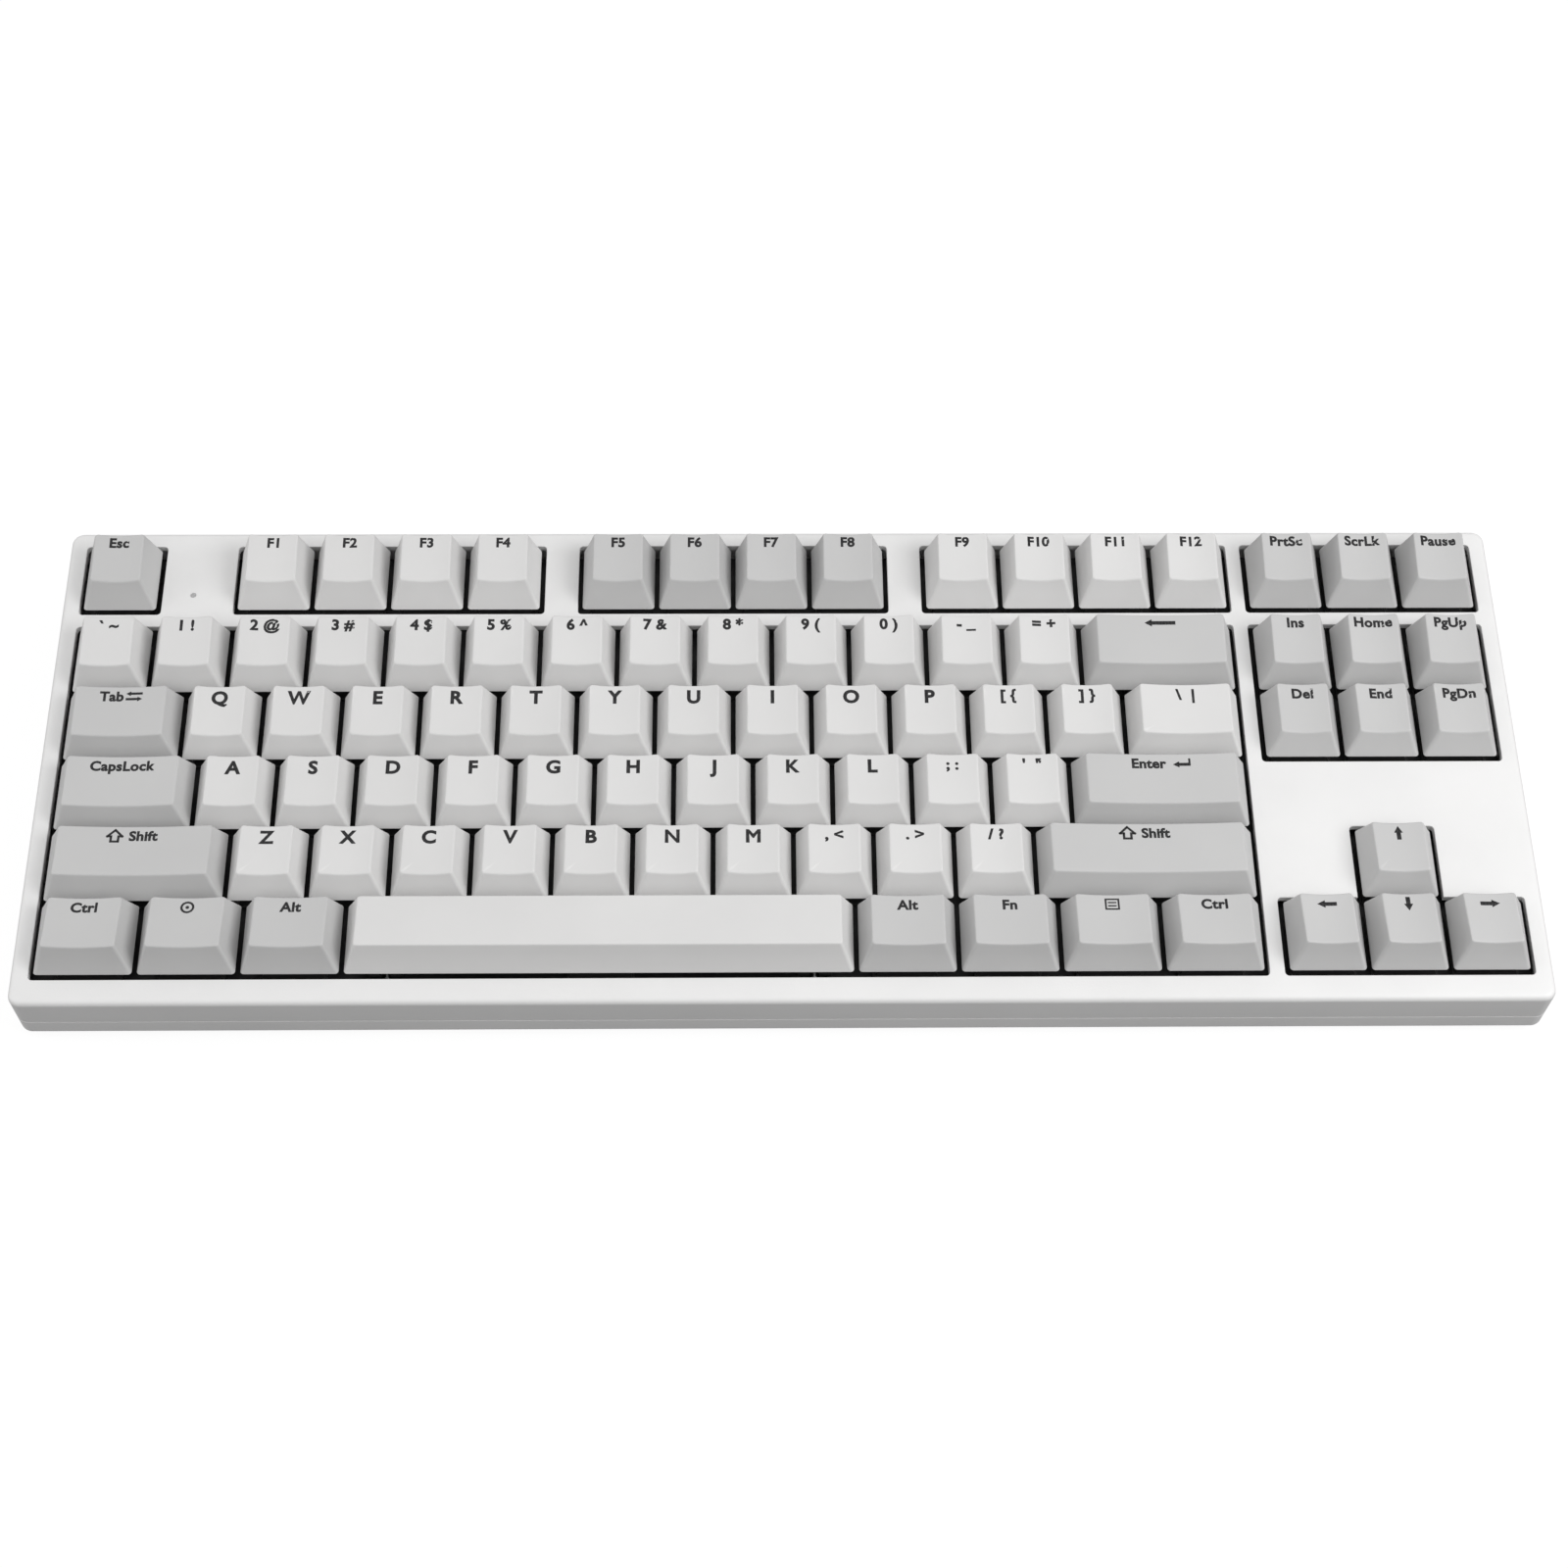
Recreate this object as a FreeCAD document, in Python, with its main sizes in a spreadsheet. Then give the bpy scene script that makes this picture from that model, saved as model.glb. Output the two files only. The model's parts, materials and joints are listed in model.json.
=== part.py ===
import FreeCAD, Part
import math
import os
import Sketcher

# Tenkeyless mechanical keyboard, 87 keys.
# Working frame: X to the right from the middle of the key field, Y to the back from the
# field's front edge, Z up from the deck (the rim's top face), normal to the switch plate.
# seat() then tilts that frame by the typing angle and stands it on its rubber feet, so that
# the row frame has its origin on the table under the middle of the case.

DIMENSIONS = (
    # tools
    ("overshoot", 1.0, "how far a cutting tool runs past a face"),
    ("root", 0.5, "how far a joined piece reaches into its neighbour"),
    # key field
    ("key_pitch", 19.05, "distance between neighbouring keys"),
    ("field_wide", 18.25, "width of the key field, in key pitches"),
    ("field_deep", 6.25, "depth of the key field, in key pitches"),
    ("opening_clearance", 0.6, "gap from a key cell to the edge of its opening"),
    # case
    ("case_width", 357.5, "outer width"),
    ("case_depth", 130.9, "outer depth, measured along the deck"),
    ("front_rim", 6.8, "case front to the key field"),
    ("corner_radius", 3.0, "plan radius of the case corners"),
    ("wall", 2.5, "thickness of the side walls"),
    ("deck", 1.8, "thickness of the deck"),
    ("rim_radius", 1.2, "rounding of the rim's outer edge"),
    ("seam_drop", 10.0, "deck to the seam between the two shells"),
    ("front_drop", 15.5, "deck to the case bottom, at the front"),
    ("floor", 2.0, "thickness of the case floor"),
    ("base_radius", 1.0, "rounding of the case's lower edge"),
    ("lip", 1.2, "thickness of the lip inside the seam"),
    ("lip_rise", 1.4, "height of the lip above the seam"),
    ("lip_gap", 0.6, "gap between the lip and the top shell"),
    ("typing_angle", 6.5, "slope of the deck"),
    ("foot_stand", 2.0, "case bottom to the table"),
    # plate and board
    ("plate_drop", 6.6, "deck to the top of the switch plate"),
    ("plate_thick", 1.5, "thickness of the switch plate"),
    ("plate_margin", 1.6, "plate beyond the key field, left and right"),
    ("plate_front", 3.2, "plate beyond the key field, to the front"),
    ("plate_back", 1.2, "plate beyond the key field, to the back"),
    ("plate_hole", 14.0, "switch hole in the plate"),
    ("side_hole_width", 7.0, "stabiliser hole in the plate, left to right"),
    ("side_hole_depth", 14.6, "stabiliser hole, front to back"),
    ("side_hole_shift", 0.7, "key's middle to the hole's middle, to the front"),
    ("plate_play", 0.1, "screw hole in the plate beyond that in the post"),
    ("board_drop", 11.6, "deck to the top of the circuit board"),
    ("board_thick", 1.6, "thickness of the circuit board"),
    ("board_inset", 1.6, "board inside the key field, at the front"),
    ("post_play", 0.2, "gap round a switch's post in the board"),
    ("contact_play", 0.25, "gap round a contact pin in the board"),
    ("passage_play", 0.6, "gap round a screw post in the board"),
    # switch
    ("housing", 13.9, "lower housing below the flange"),
    ("flange", 15.6, "flange that rests on the plate"),
    ("flange_thick", 1.0, "thickness of the flange"),
    ("hollow", 11.0, "hollow inside the lower housing"),
    ("housing_floor", 1.0, "floor of the lower housing"),
    ("post_radius", 2.0, "centre post below the housing"),
    ("post_bore", 1.55, "bore for the slider's pole"),
    ("post_reach", 2.8, "post below the top of the board"),
    ("pin_radius", 0.5, "contact pin"),
    ("upper_base", 14.6, "upper housing at its foot"),
    ("upper_top", 9.8, "upper housing at its top"),
    ("slider_width", 6.8, "slider, left to right"),
    ("slider_depth", 6.4, "slider, front to back"),
    ("slider_gap", 0.2, "slider to the edge of its opening"),
    ("slider_rise", 0.3, "top of the slider above the deck"),
    ("slider_low", 6.4, "deck to the bottom of the slider"),
    ("wing_width", 8.4, "slider across its wings"),
    ("wing_depth", 3.0, "thickness of a wing"),
    ("wing_top", 1.6, "deck to the top of the wings"),
    ("pole_radius", 1.3, "pole inside the spring"),
    ("pole_low", 9.6, "deck to the end of the pole"),
    ("spring_bore", 2.5, "bore for the spring in the slider"),
    ("bore_top", 1.4, "deck to the top of that bore"),
    ("cross_long", 4.0, "length of an arm of the cross"),
    ("cross_thick", 1.2, "thickness of an arm of the cross"),
    ("cross_top", 3.6, "top of the cross above the deck"),
    ("coil_radius", 1.95, "spring, to the middle of the wire"),
    ("spring_wire", 0.22, "half the diagonal of the spring's square wire"),
    ("coil_pitch", 1.66, "distance between turns of the spring"),
    ("coil_height", 8.3, "height of the spring's middle line"),
    ("coil_low", 10.3, "deck to the lowest turn"),
    # keycap
    ("cap_gap", 1.2, "gap between two keycaps, at their skirts"),
    ("cap_radius", 0.8, "corner radius of the skirt"),
    ("top_radius", 0.7, "corner radius of the top face"),
    ("side_inset", 3.45, "cell edge to the top face, left and right"),
    ("cap_wall", 1.5, "wall thickness"),
    ("ceiling", 4.4, "skirt to the underside of the top face"),
    ("dish", 0.8, "depth of the dish across the top face"),
    ("boss_radius", 2.75, "boss that takes the cross"),
    ("boss_low", 0.6, "skirt to the boss"),
    ("socket_play", 0.05, "gap round the cross in its socket"),
    ("socket_end", 0.1, "gap above the cross in its socket"),
    # height of the top face at its front and back edge, and how far those edges are
    # inside the key cell, for each row of keys
    ("function_front", 8.0, ""), ("function_back", 9.2, ""),
    ("function_near", 4.4, ""), ("function_far", 1.7, ""),
    ("number_front", 8.0, ""), ("number_back", 9.0, ""),
    ("number_near", 3.9, ""), ("number_far", 1.9, ""),
    ("upper_front", 7.0, ""), ("upper_back", 7.3, ""),
    ("upper_near", 3.8, ""), ("upper_far", 1.8, ""),
    ("home_front", 6.9, ""), ("home_back", 6.6, ""),
    ("home_near", 3.7, ""), ("home_far", 1.8, ""),
    ("lower_front", 7.2, ""), ("lower_back", 6.2, ""),
    ("lower_near", 4.2, ""), ("lower_far", 1.5, ""),
    ("bottom_front", 8.2, ""), ("bottom_back", 6.4, ""),
    ("bottom_near", 4.1, ""), ("bottom_far", 1.4, ""),
    # stabilisers
    ("short_reach", 11.94, "key centre to the stabiliser of a 2 to 2.75 unit key"),
    ("long_reach", 50.0, "key centre to the stabiliser of the space bar"),
    ("wire_radius", 0.75, "stabiliser wire"),
    ("wire_front", 8.3, "key centre to the wire's bar, to the front"),
    ("wire_drop", 9.46, "deck to the wire's bar"),
    ("wire_arm", 10.8, "length of an arm of the wire"),
    ("wire_rise", 27.5, "slope of the arms with the key up"),
    ("trunk_width", 6.8, "stabiliser housing, left to right"),
    ("trunk_depth", 12.8, "stabiliser housing, front to back"),
    ("trunk_tall", 6.0, "height of the housing"),
    ("trunk_low", 9.6, "deck to the housing's bottom"),
    ("trunk_shift", 0.1, "key's middle to the housing's middle, to the back"),
    ("collar_width", 8.0, "housing's collar on the plate, left to right"),
    ("collar_depth", 14.4, "housing's collar, front to back"),
    ("collar_thick", 0.8, "thickness of the collar"),
    ("collar_shift", 0.4, "key's middle to the collar's middle, to the back"),
    ("lug_side", 2.4, "housing's middle to the lug that holds the wire's bar"),
    ("lug_front", 8.2, "key's middle to the lug, to the front"),
    ("lug_low", 10.9, "deck to the lug's bottom"),
    ("lug_width", 2.0, "lug, left to right"),
    ("lug_depth", 3.8, "lug, front to back"),
    ("lug_tall", 2.7, "height of the lug"),
    ("shaft_width", 4.8, "shaft for the stabiliser stem, left to right"),
    ("shaft_depth", 5.6, "shaft, front to back"),
    ("slot_front", 5.0, "key's middle to the middle of the wire's slot, to the front"),
    ("slot_depth", 6.0, "slot, front to back"),
    ("slot_play", 0.6, "play of the wire in slot and window, across it"),
    ("bearing_play", 0.2, "gap round the wire's bar in its lug"),
    ("stem_width", 4.4, "stabiliser stem, left to right"),
    ("stem_depth", 5.2, "stabiliser stem, front to back"),
    ("head_low", 2.9, "deck to the bottom of the stem's head"),
    ("web_low", 7.4, "deck to the bottom of the stem"),
    ("web_depth", 1.6, "thickness of the stem below its head"),
    ("window_low", 6.6, "deck to the bottom of the window for the wire"),
    ("window_tall", 3.0, "height of that window"),
    # fasteners
    ("screw_post", 3.5, "radius of the posts of the bottom shell"),
    ("screw_boss", 2.3, "radius of the bosses under the deck"),
    ("screw_pilot", 1.15, "pilot hole in a boss"),
    ("screw_shaft", 1.3, "radius of the screw"),
    ("screw_passage", 1.55, "hole in a post and in the plate"),
    ("screw_head", 2.2, "radius of the screw's head"),
    ("head_thick", 1.8, "thickness of the head"),
    ("drive_long", 2.6, "cross slot in the head"),
    ("drive_thick", 0.6, "width of that slot"),
    ("slot_sink", 0.9, "depth of that slot"),
    ("head_well", 2.5, "radius of the well for the head"),
    ("head_drop", 12.8, "deck to the seat of the head"),
    ("screw_tip", 3.6, "deck to the screw's tip"),
    # feet
    ("pad_length", 18.0, "rubber foot, left to right"),
    ("pad_depth", 7.0, "rubber foot, front to back"),
    ("pad_sink", 0.8, "rubber foot inside the case bottom"),
    ("pad_round", 2.0, "corner radius of a rubber foot"),
    ("pad_edge", 0.5, "rounding of a rubber foot's lower edge"),
    ("pad_play", 0.2, "gap round a rubber foot"),
    ("flip_width", 28.0, "flip foot, left to right"),
    ("flip_length", 20.0, "hinge to the tip of a flip foot"),
    ("flip_half", 2.3, "half the thickness of a flip foot"),
    ("flip_pin", 1.5, "radius of the hinge pins"),
    ("flip_pin_span", 33.0, "length across both pins"),
    ("flip_side", 120.0, "middle of the case to a flip foot"),
    ("flip_gap", 0.6, "play of a flip foot in its recess"),
    ("flip_reach", 1.5, "tip of a flip foot to the front of its recess"),
    ("flip_sink", 0.4, "folded flip foot above the case bottom"),
    ("flip_cheek", 3.5, "wall beside the recess that holds a hinge pin"),
    ("flip_blunt", 0.1, "flat left on a flip foot's round ends"),
    ("pin_play", 0.25, "gap round a hinge pin"),
    ("pin_end_play", 0.3, "gap at each end of a hinge pin"),
    ("grip_wide", 14.0, "finger hollow of a flip foot, left to right"),
    ("grip_long", 10.0, "finger hollow of a flip foot, front to back"),
    ("grip_back", 16.0, "hinge to the front of the finger hollow"),
    ("grip_floor", 0.8, "middle of a flip foot to the floor of its hollow"),
    ("flip_back", 52.0, "middle of the case to the flip hinge, to the back"),
    # socket and small parts
    ("usb_place", 10.75, "left edge of the key field to the socket, in key pitches"),
    ("usb_width", 8.94, "outer width of the socket shell"),
    ("usb_thick", 3.2, "outer height of the socket shell"),
    ("usb_length", 7.3, "length of the socket shell"),
    ("usb_skin", 0.3, "thickness of the socket shell"),
    ("usb_overhang", 0.9, "shell beyond the circuit board"),
    ("usb_round", 1.45, "corner radius of the socket shell"),
    ("usb_open", 2.0, "how far the shell's hollow is moved to the rear, and runs past it"),
    ("tongue_width", 6.7, "contact tongue, left to right"),
    ("tongue_length", 5.6, "contact tongue, front to back"),
    ("tongue_thick", 0.7, "contact tongue"),
    ("port_width", 12.6, "opening in the case for the plug"),
    ("port_height", 7.6, "opening in the case for the plug"),
    ("lamp_radius", 0.7, "indicator lens"),
    ("lamp_play", 0.02, "gap round the lens"),
    ("lamp_low", 0.5, "lens below the deck's underside"),
    ("lamp_sink", 0.2, "top of the lens below the deck"),
    ("lamp_place", 1.43, "left edge of the key field to the lens, in key pitches"),
    ("lamp_back", 5.52, "front edge of the key field to the lens, in key pitches"),
    ("chip_side", 10.0, "controller chip"),
    ("chip_thick", 1.2, "controller chip"),
    ("chip_bevel", 0.5, "cut corners of the chip"),
    ("chip_side_step", 15.0, "socket to the chip, to the right"),
    ("chip_back", 5.125, "front edge of the key field to the chip, in key pitches"),
)

# sculpt, front edge and left edge in key pitches, then the keys with their widths
ROWS = (
    ("function", 5.25, 0.0, "escape"),
    ("function", 5.25, 2.0, "f1 f2 f3 f4"),
    ("function", 5.25, 6.5, "f5 f6 f7 f8"),
    ("function", 5.25, 11.0, "f9 f10 f11 f12"),
    ("function", 5.25, 15.25, "print_screen scroll_lock pause"),
    ("number", 4.0, 0.0, "grave one two three four five six seven eight nine zero minus equals backspace:2"),
    ("number", 4.0, 15.25, "insert home page_up"),
    ("upper", 3.0, 0.0, "tab:1.5 q w e r t y u i o p left_bracket right_bracket backslash:1.5"),
    ("upper", 3.0, 15.25, "delete end page_down"),
    ("home", 2.0, 0.0, "caps_lock:1.75 a s d f g h j k l semicolon quote enter:2.25"),
    ("lower", 1.0, 0.0, "left_shift:2.25 z x c v b n m comma period slash right_shift:2.75"),
    ("lower", 1.0, 16.25, "up"),
    ("bottom", 0.0, 0.0, "left_ctrl:1.25 super:1.25 left_alt:1.25 space:6.25"),
    ("bottom", 0.0, 10.0, "right_alt:1.25 fn:1.25 menu:1.25 right_ctrl:1.25"),
    ("bottom", 0.0, 15.25, "left down right"),
)
# keys that share one node
BANKS = {
    "number_row_keys": "grave one two three four five six seven eight nine zero minus equals",
    "function_row_keys": "escape f1 f2 f3 f4 f5 f6 f7 f8 f9 f10 f11 f12 print_screen scroll_lock pause",
    "punctuation_keys": "left_bracket right_bracket backslash semicolon quote comma period slash",
    "modifier_keys": "tab caps_lock left_ctrl super left_alt right_alt fn menu right_ctrl",
    "navigation_keys": "insert home page_up delete end page_down",
}
STABILISED = {
    "space": "dims.long_reach",
    "left_shift": "dims.short_reach",
    "right_shift": "dims.short_reach",
    "enter": "dims.short_reach",
    "backspace": "dims.short_reach",
}
# rectangles of key cells that the deck is open over: left, right, front and back edge
CLUSTERS = (
    (0.0, 1.0, 5.25, 6.25),
    (2.0, 6.0, 5.25, 6.25),
    (6.5, 10.5, 5.25, 6.25),
    (11.0, 15.0, 5.25, 6.25),
    (15.25, 18.25, 5.25, 6.25),
    (0.0, 15.0, 0.0, 5.0),
    (15.25, 18.25, 3.0, 5.0),
    (15.25, 18.25, 0.0, 1.0),
)
UP_KEY_CELL = (16.25, 17.25, 0.0, 2.0)
# case screws, in key pitches from the left and front edge of the key field
SCREWS = ((1.5, 5.95), (6.25, 5.75), (10.75, 5.45), (15.75, 2.5), (17.75, 2.5),
          (1.25, -0.152), (9.875, -0.152), (17.0, -0.152))
# rubber feet, from the middle of the case, in the row frame
PADS = ((-150.0, -52.0), (150.0, -52.0), (-160.0, 52.0), (160.0, 52.0))
CONTACT_PINS = ((-3.81, 2.54), (2.54, 5.08))
# nearer than this counts as touching when edges are picked
NEAR = 0.01

doc = FreeCAD.newDocument("keyboard")
sheet = doc.addObject("Spreadsheet::Sheet", "dims")
parts = {}


def fill_sheet(rows, first_line=1):
    for line, (alias, number, note) in enumerate(rows, first_line):
        sheet.set("A%d" % line, alias)
        sheet.set("B%d" % line, str(number))
        sheet.setAlias("B%d" % line, alias)
        sheet.set("C%d" % line, note)
    doc.recompute()


def number(expression):
    return float(sheet.evalExpression(expression))


def seat_numbers():
    """Lift and shift that put the tilted case on its feet, centred over the origin."""
    size = {alias: value for alias, value, _ in DIMENSIONS}
    sine = math.sin(math.radians(size["typing_angle"]))
    cosine = math.cos(math.radians(size["typing_angle"]))
    lift = size["foot_stand"] + size["front_rim"] * sine + size["front_drop"] * cosine
    rim, base = size["rim_radius"], size["base_radius"]
    front = (rim - size["front_rim"]) * cosine + rim * sine - rim
    back_face = size["case_depth"] - size["front_rim"]
    drop = lift - size["foot_stand"] - base
    back = (back_face - base + drop * sine) / cosine + base
    return (("lift", lift, "height of the deck at the key field's front edge"),
            ("shift", -(front + back) / 2, "key field's front edge from the case's middle"))


def seat(item):
    """Give a sub-part made in the working frame its place in the row frame."""
    item.Placement = FreeCAD.Placement(FreeCAD.Vector(0, 0, 0),
                                       FreeCAD.Rotation(FreeCAD.Vector(1, 0, 0), 1))
    item.setExpression("Placement.Rotation.Angle", "dims.typing_angle")
    item.setExpression("Placement.Base.y", "dims.shift")
    item.setExpression("Placement.Base.z", "dims.lift")


def register(item, node, seated=True):
    item.Label = node
    parts[node] = item
    if seated:
        seat(item)
    return item


def bind(item, **expressions):
    for name, expression in expressions.items():
        item.setExpression(name, expression)


def place(item, x="0", y="0", z="0"):
    for axis, expression in (("x", x), ("y", y), ("z", z)):
        item.setExpression("Placement.Base." + axis, expression)


# Part primitives with bound sizes

def box(name, x, y, z, length, depth, height):
    """A box centred on x and y that stands on z."""
    item = doc.addObject("Part::Box", name)
    bind(item, Length=length, Width=depth, Height=height)
    place(item, "%s - (%s) / 2" % (x, length), "%s - (%s) / 2" % (y, depth), z)
    return item


def cylinder(name, x, y, z, radius, height):
    item = doc.addObject("Part::Cylinder", name)
    bind(item, Radius=radius, Height=height)
    place(item, x, y, z)
    return item


def lengthwise(name, x, y, z, radius, length):
    """A cylinder along X that starts at x."""
    item = doc.addObject("Part::Cylinder", name)
    item.Placement.Rotation = FreeCAD.Rotation(FreeCAD.Vector(0, 1, 0), 90)
    bind(item, Radius=radius, Height=length)
    place(item, x, y, z)
    return item


def taper(name, low, high, half_low, half_high):
    """A square block with sloping sides between two heights."""
    item = doc.addObject("Part::Wedge", name)
    item.Placement.Rotation = FreeCAD.Rotation(FreeCAD.Vector(1, 0, 0), 90)
    bind(item, Ymin=low, Ymax=high)
    for axis in "XZ":
        bind(item, **{axis + "min": "-" + half_low, axis + "max": half_low,
                      axis + "2min": "-" + half_high, axis + "2max": half_high})
    return item


def fuse(name, items):
    item = doc.addObject("Part::MultiFuse", name)
    item.Shapes = items
    item.Refine = True
    return item


def cut(name, base, tool):
    item = doc.addObject("Part::Cut", name)
    item.Base = base
    item.Tool = tool
    return item


def group(name, items):
    item = doc.addObject("Part::Compound", name)
    item.Links = items
    return item


def copy_to(original, x, y, z="0"):
    item = doc.addObject("App::Link", original.Name + "_copy")
    item.LinkedObject = original
    item.LinkTransform = True
    place(item, x, y, z)
    return item


# PartDesign bodies with bound sketches

def new_body(name):
    return doc.addObject("PartDesign::Body", name)


def origin_plane(body, role):
    return next(item for item in body.Origin.OriginFeatures if item.Role == role)


def attach(item, body, role="XY_Plane", x="0", y="0", z="0", angle=None):
    item.AttachmentSupport = [(origin_plane(body, role), "")]
    item.MapMode = "FlatFace"
    if angle:
        item.AttachmentOffset = FreeCAD.Placement(
            FreeCAD.Vector(0, 0, 0), FreeCAD.Rotation(FreeCAD.Vector(1, 0, 0), 1))
        item.setExpression("AttachmentOffset.Rotation.Angle", angle)
    for axis, expression in (("x", x), ("y", y), ("z", z)):
        item.setExpression("AttachmentOffset.Base." + axis, expression)


def attach_level(item, body, height):
    """Attach to the horizontal plane at a height of the row frame, under its origin."""
    drop = "(%s - dims.lift)" % height
    attach(item, body, angle="-dims.typing_angle",
           y="-dims.shift * cos(dims.typing_angle) + %s * sin(dims.typing_angle)" % drop,
           z="dims.shift * sin(dims.typing_angle) + %s * cos(dims.typing_angle)" % drop)


def new_sketch(body, name):
    return body.newObject("Sketcher::SketchObject", name)


def dimension(sketch, kind, index, point, expression):
    """Bind a point's distance from the sketch origin to an expression."""
    name = "%s_%d_%d" % (kind, index, point)
    constraint = Sketcher.Constraint("Distance" + kind, -1, 1, index, point, number(expression))
    sketch.renameConstraint(sketch.addConstraint(constraint), name)
    sketch.setExpression("Constraints." + name, expression)


def rectangle(sketch, left, right, front, back, radius=None):
    """A rectangle, with round corners if it has a radius. All values are expressions."""
    x0, x1, y0, y1 = number(left), number(right), number(front), number(back)
    r = number(radius) if radius else 0.0
    ends = (((x0 + r, y0), (x1 - r, y0)), ((x1, y0 + r), (x1, y1 - r)),
            ((x1 - r, y1), (x0 + r, y1)), ((x0, y1 - r), (x0, y0 + r)))
    lines = [sketch.addGeometry(Part.LineSegment(FreeCAD.Vector(*a, 0), FreeCAD.Vector(*b, 0)))
             for a, b in ends]
    for line, way in zip(lines, ("Horizontal", "Vertical", "Horizontal", "Vertical")):
        sketch.addConstraint(Sketcher.Constraint(way, line))
    if radius:
        centres = ((x1 - r, y0 + r), (x1 - r, y1 - r), (x0 + r, y1 - r), (x0 + r, y0 + r))
        arcs = []
        for turn, centre in enumerate(centres):
            circle = Part.Circle(FreeCAD.Vector(*centre, 0), FreeCAD.Vector(0, 0, 1), r)
            start = (turn - 1) * math.pi / 2
            arcs.append(sketch.addGeometry(Part.ArcOfCircle(circle, start, start + math.pi / 2)))
        for turn, arc in enumerate(arcs):
            sketch.addConstraint(Sketcher.Constraint("Tangent", lines[turn], 2, arc, 1))
            sketch.addConstraint(Sketcher.Constraint("Tangent", arc, 2, lines[(turn + 1) % 4], 1))
        for arc in arcs[1:]:
            sketch.addConstraint(Sketcher.Constraint("Equal", arcs[0], arc))
        name = "radius_%d" % arcs[0]
        sketch.renameConstraint(sketch.addConstraint(Sketcher.Constraint("Radius", arcs[0], r)), name)
        sketch.setExpression("Constraints." + name, radius)
    else:
        for turn in range(4):
            sketch.addConstraint(
                Sketcher.Constraint("Coincident", lines[turn], 2, lines[(turn + 1) % 4], 1))
    dimension(sketch, "Y", lines[0], 1, front)
    dimension(sketch, "X", lines[1], 1, right)
    dimension(sketch, "Y", lines[2], 1, back)
    dimension(sketch, "X", lines[3], 1, left)


def circle(sketch, x, y, radius):
    middle = FreeCAD.Vector(number(x), number(y), 0)
    index = sketch.addGeometry(Part.Circle(middle, FreeCAD.Vector(0, 0, 1), number(radius)))
    dimension(sketch, "X", index, 3, x)
    dimension(sketch, "Y", index, 3, y)
    name = "radius_%d" % index
    sketch.renameConstraint(
        sketch.addConstraint(Sketcher.Constraint("Radius", index, number(radius))), name)
    sketch.setExpression("Constraints." + name, radius)


def polygon(sketch, points):
    """A closed outline. Each point is a pair of expressions."""
    places = [FreeCAD.Vector(number(x), number(y), 0) for x, y in points]
    lines = [sketch.addGeometry(Part.LineSegment(a, b))
             for a, b in zip(places, places[1:] + places[:1])]
    for turn, line in enumerate(lines):
        sketch.addConstraint(
            Sketcher.Constraint("Coincident", line, 2, lines[(turn + 1) % len(lines)], 1))
    for line, (x, y) in zip(lines, points):
        dimension(sketch, "X", line, 1, x)
        dimension(sketch, "Y", line, 1, y)


def pad(body, sketch, length, name, upward=True):
    item = body.newObject("PartDesign::Pad", name)
    item.Profile = sketch
    item.Reversed = not upward
    item.setExpression("Length", length)
    return item


def pocket(body, sketch, length, name, upward=False):
    item = body.newObject("PartDesign::Pocket", name)
    item.Profile = sketch
    item.Reversed = upward
    item.setExpression("Length", length)
    return item


def outline(sketch, inset="0"):
    """The case's plan outline, moved inwards."""
    rectangle(sketch, "-dims.case_width / 2 + " + inset, "dims.case_width / 2 - " + inset,
              "-dims.front_rim + " + inset, "dims.case_depth - dims.front_rim - " + inset,
              "dims.corner_radius - min(%s, dims.corner_radius - 1)" % inset)


def unit_x(units):
    return "dims.key_pitch * (%s - dims.field_wide / 2)" % units


def unit_y(units):
    return "dims.key_pitch * %s" % units


# Case shells

def edges_where(feature, test):
    """Names of the edges whose every sampled point passes the test."""
    found = []
    for index, edge in enumerate(feature.Shape.Edges, 1):
        if all(test(point) for point in edge.discretize(4)):
            found.append("Edge%d" % index)
    return found


def round_edges(body, feature, test, radius, name):
    item = body.newObject("PartDesign::Fillet", name)
    item.Base = (feature, edges_where(feature, test))
    item.setExpression("Radius", radius)
    return item


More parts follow.
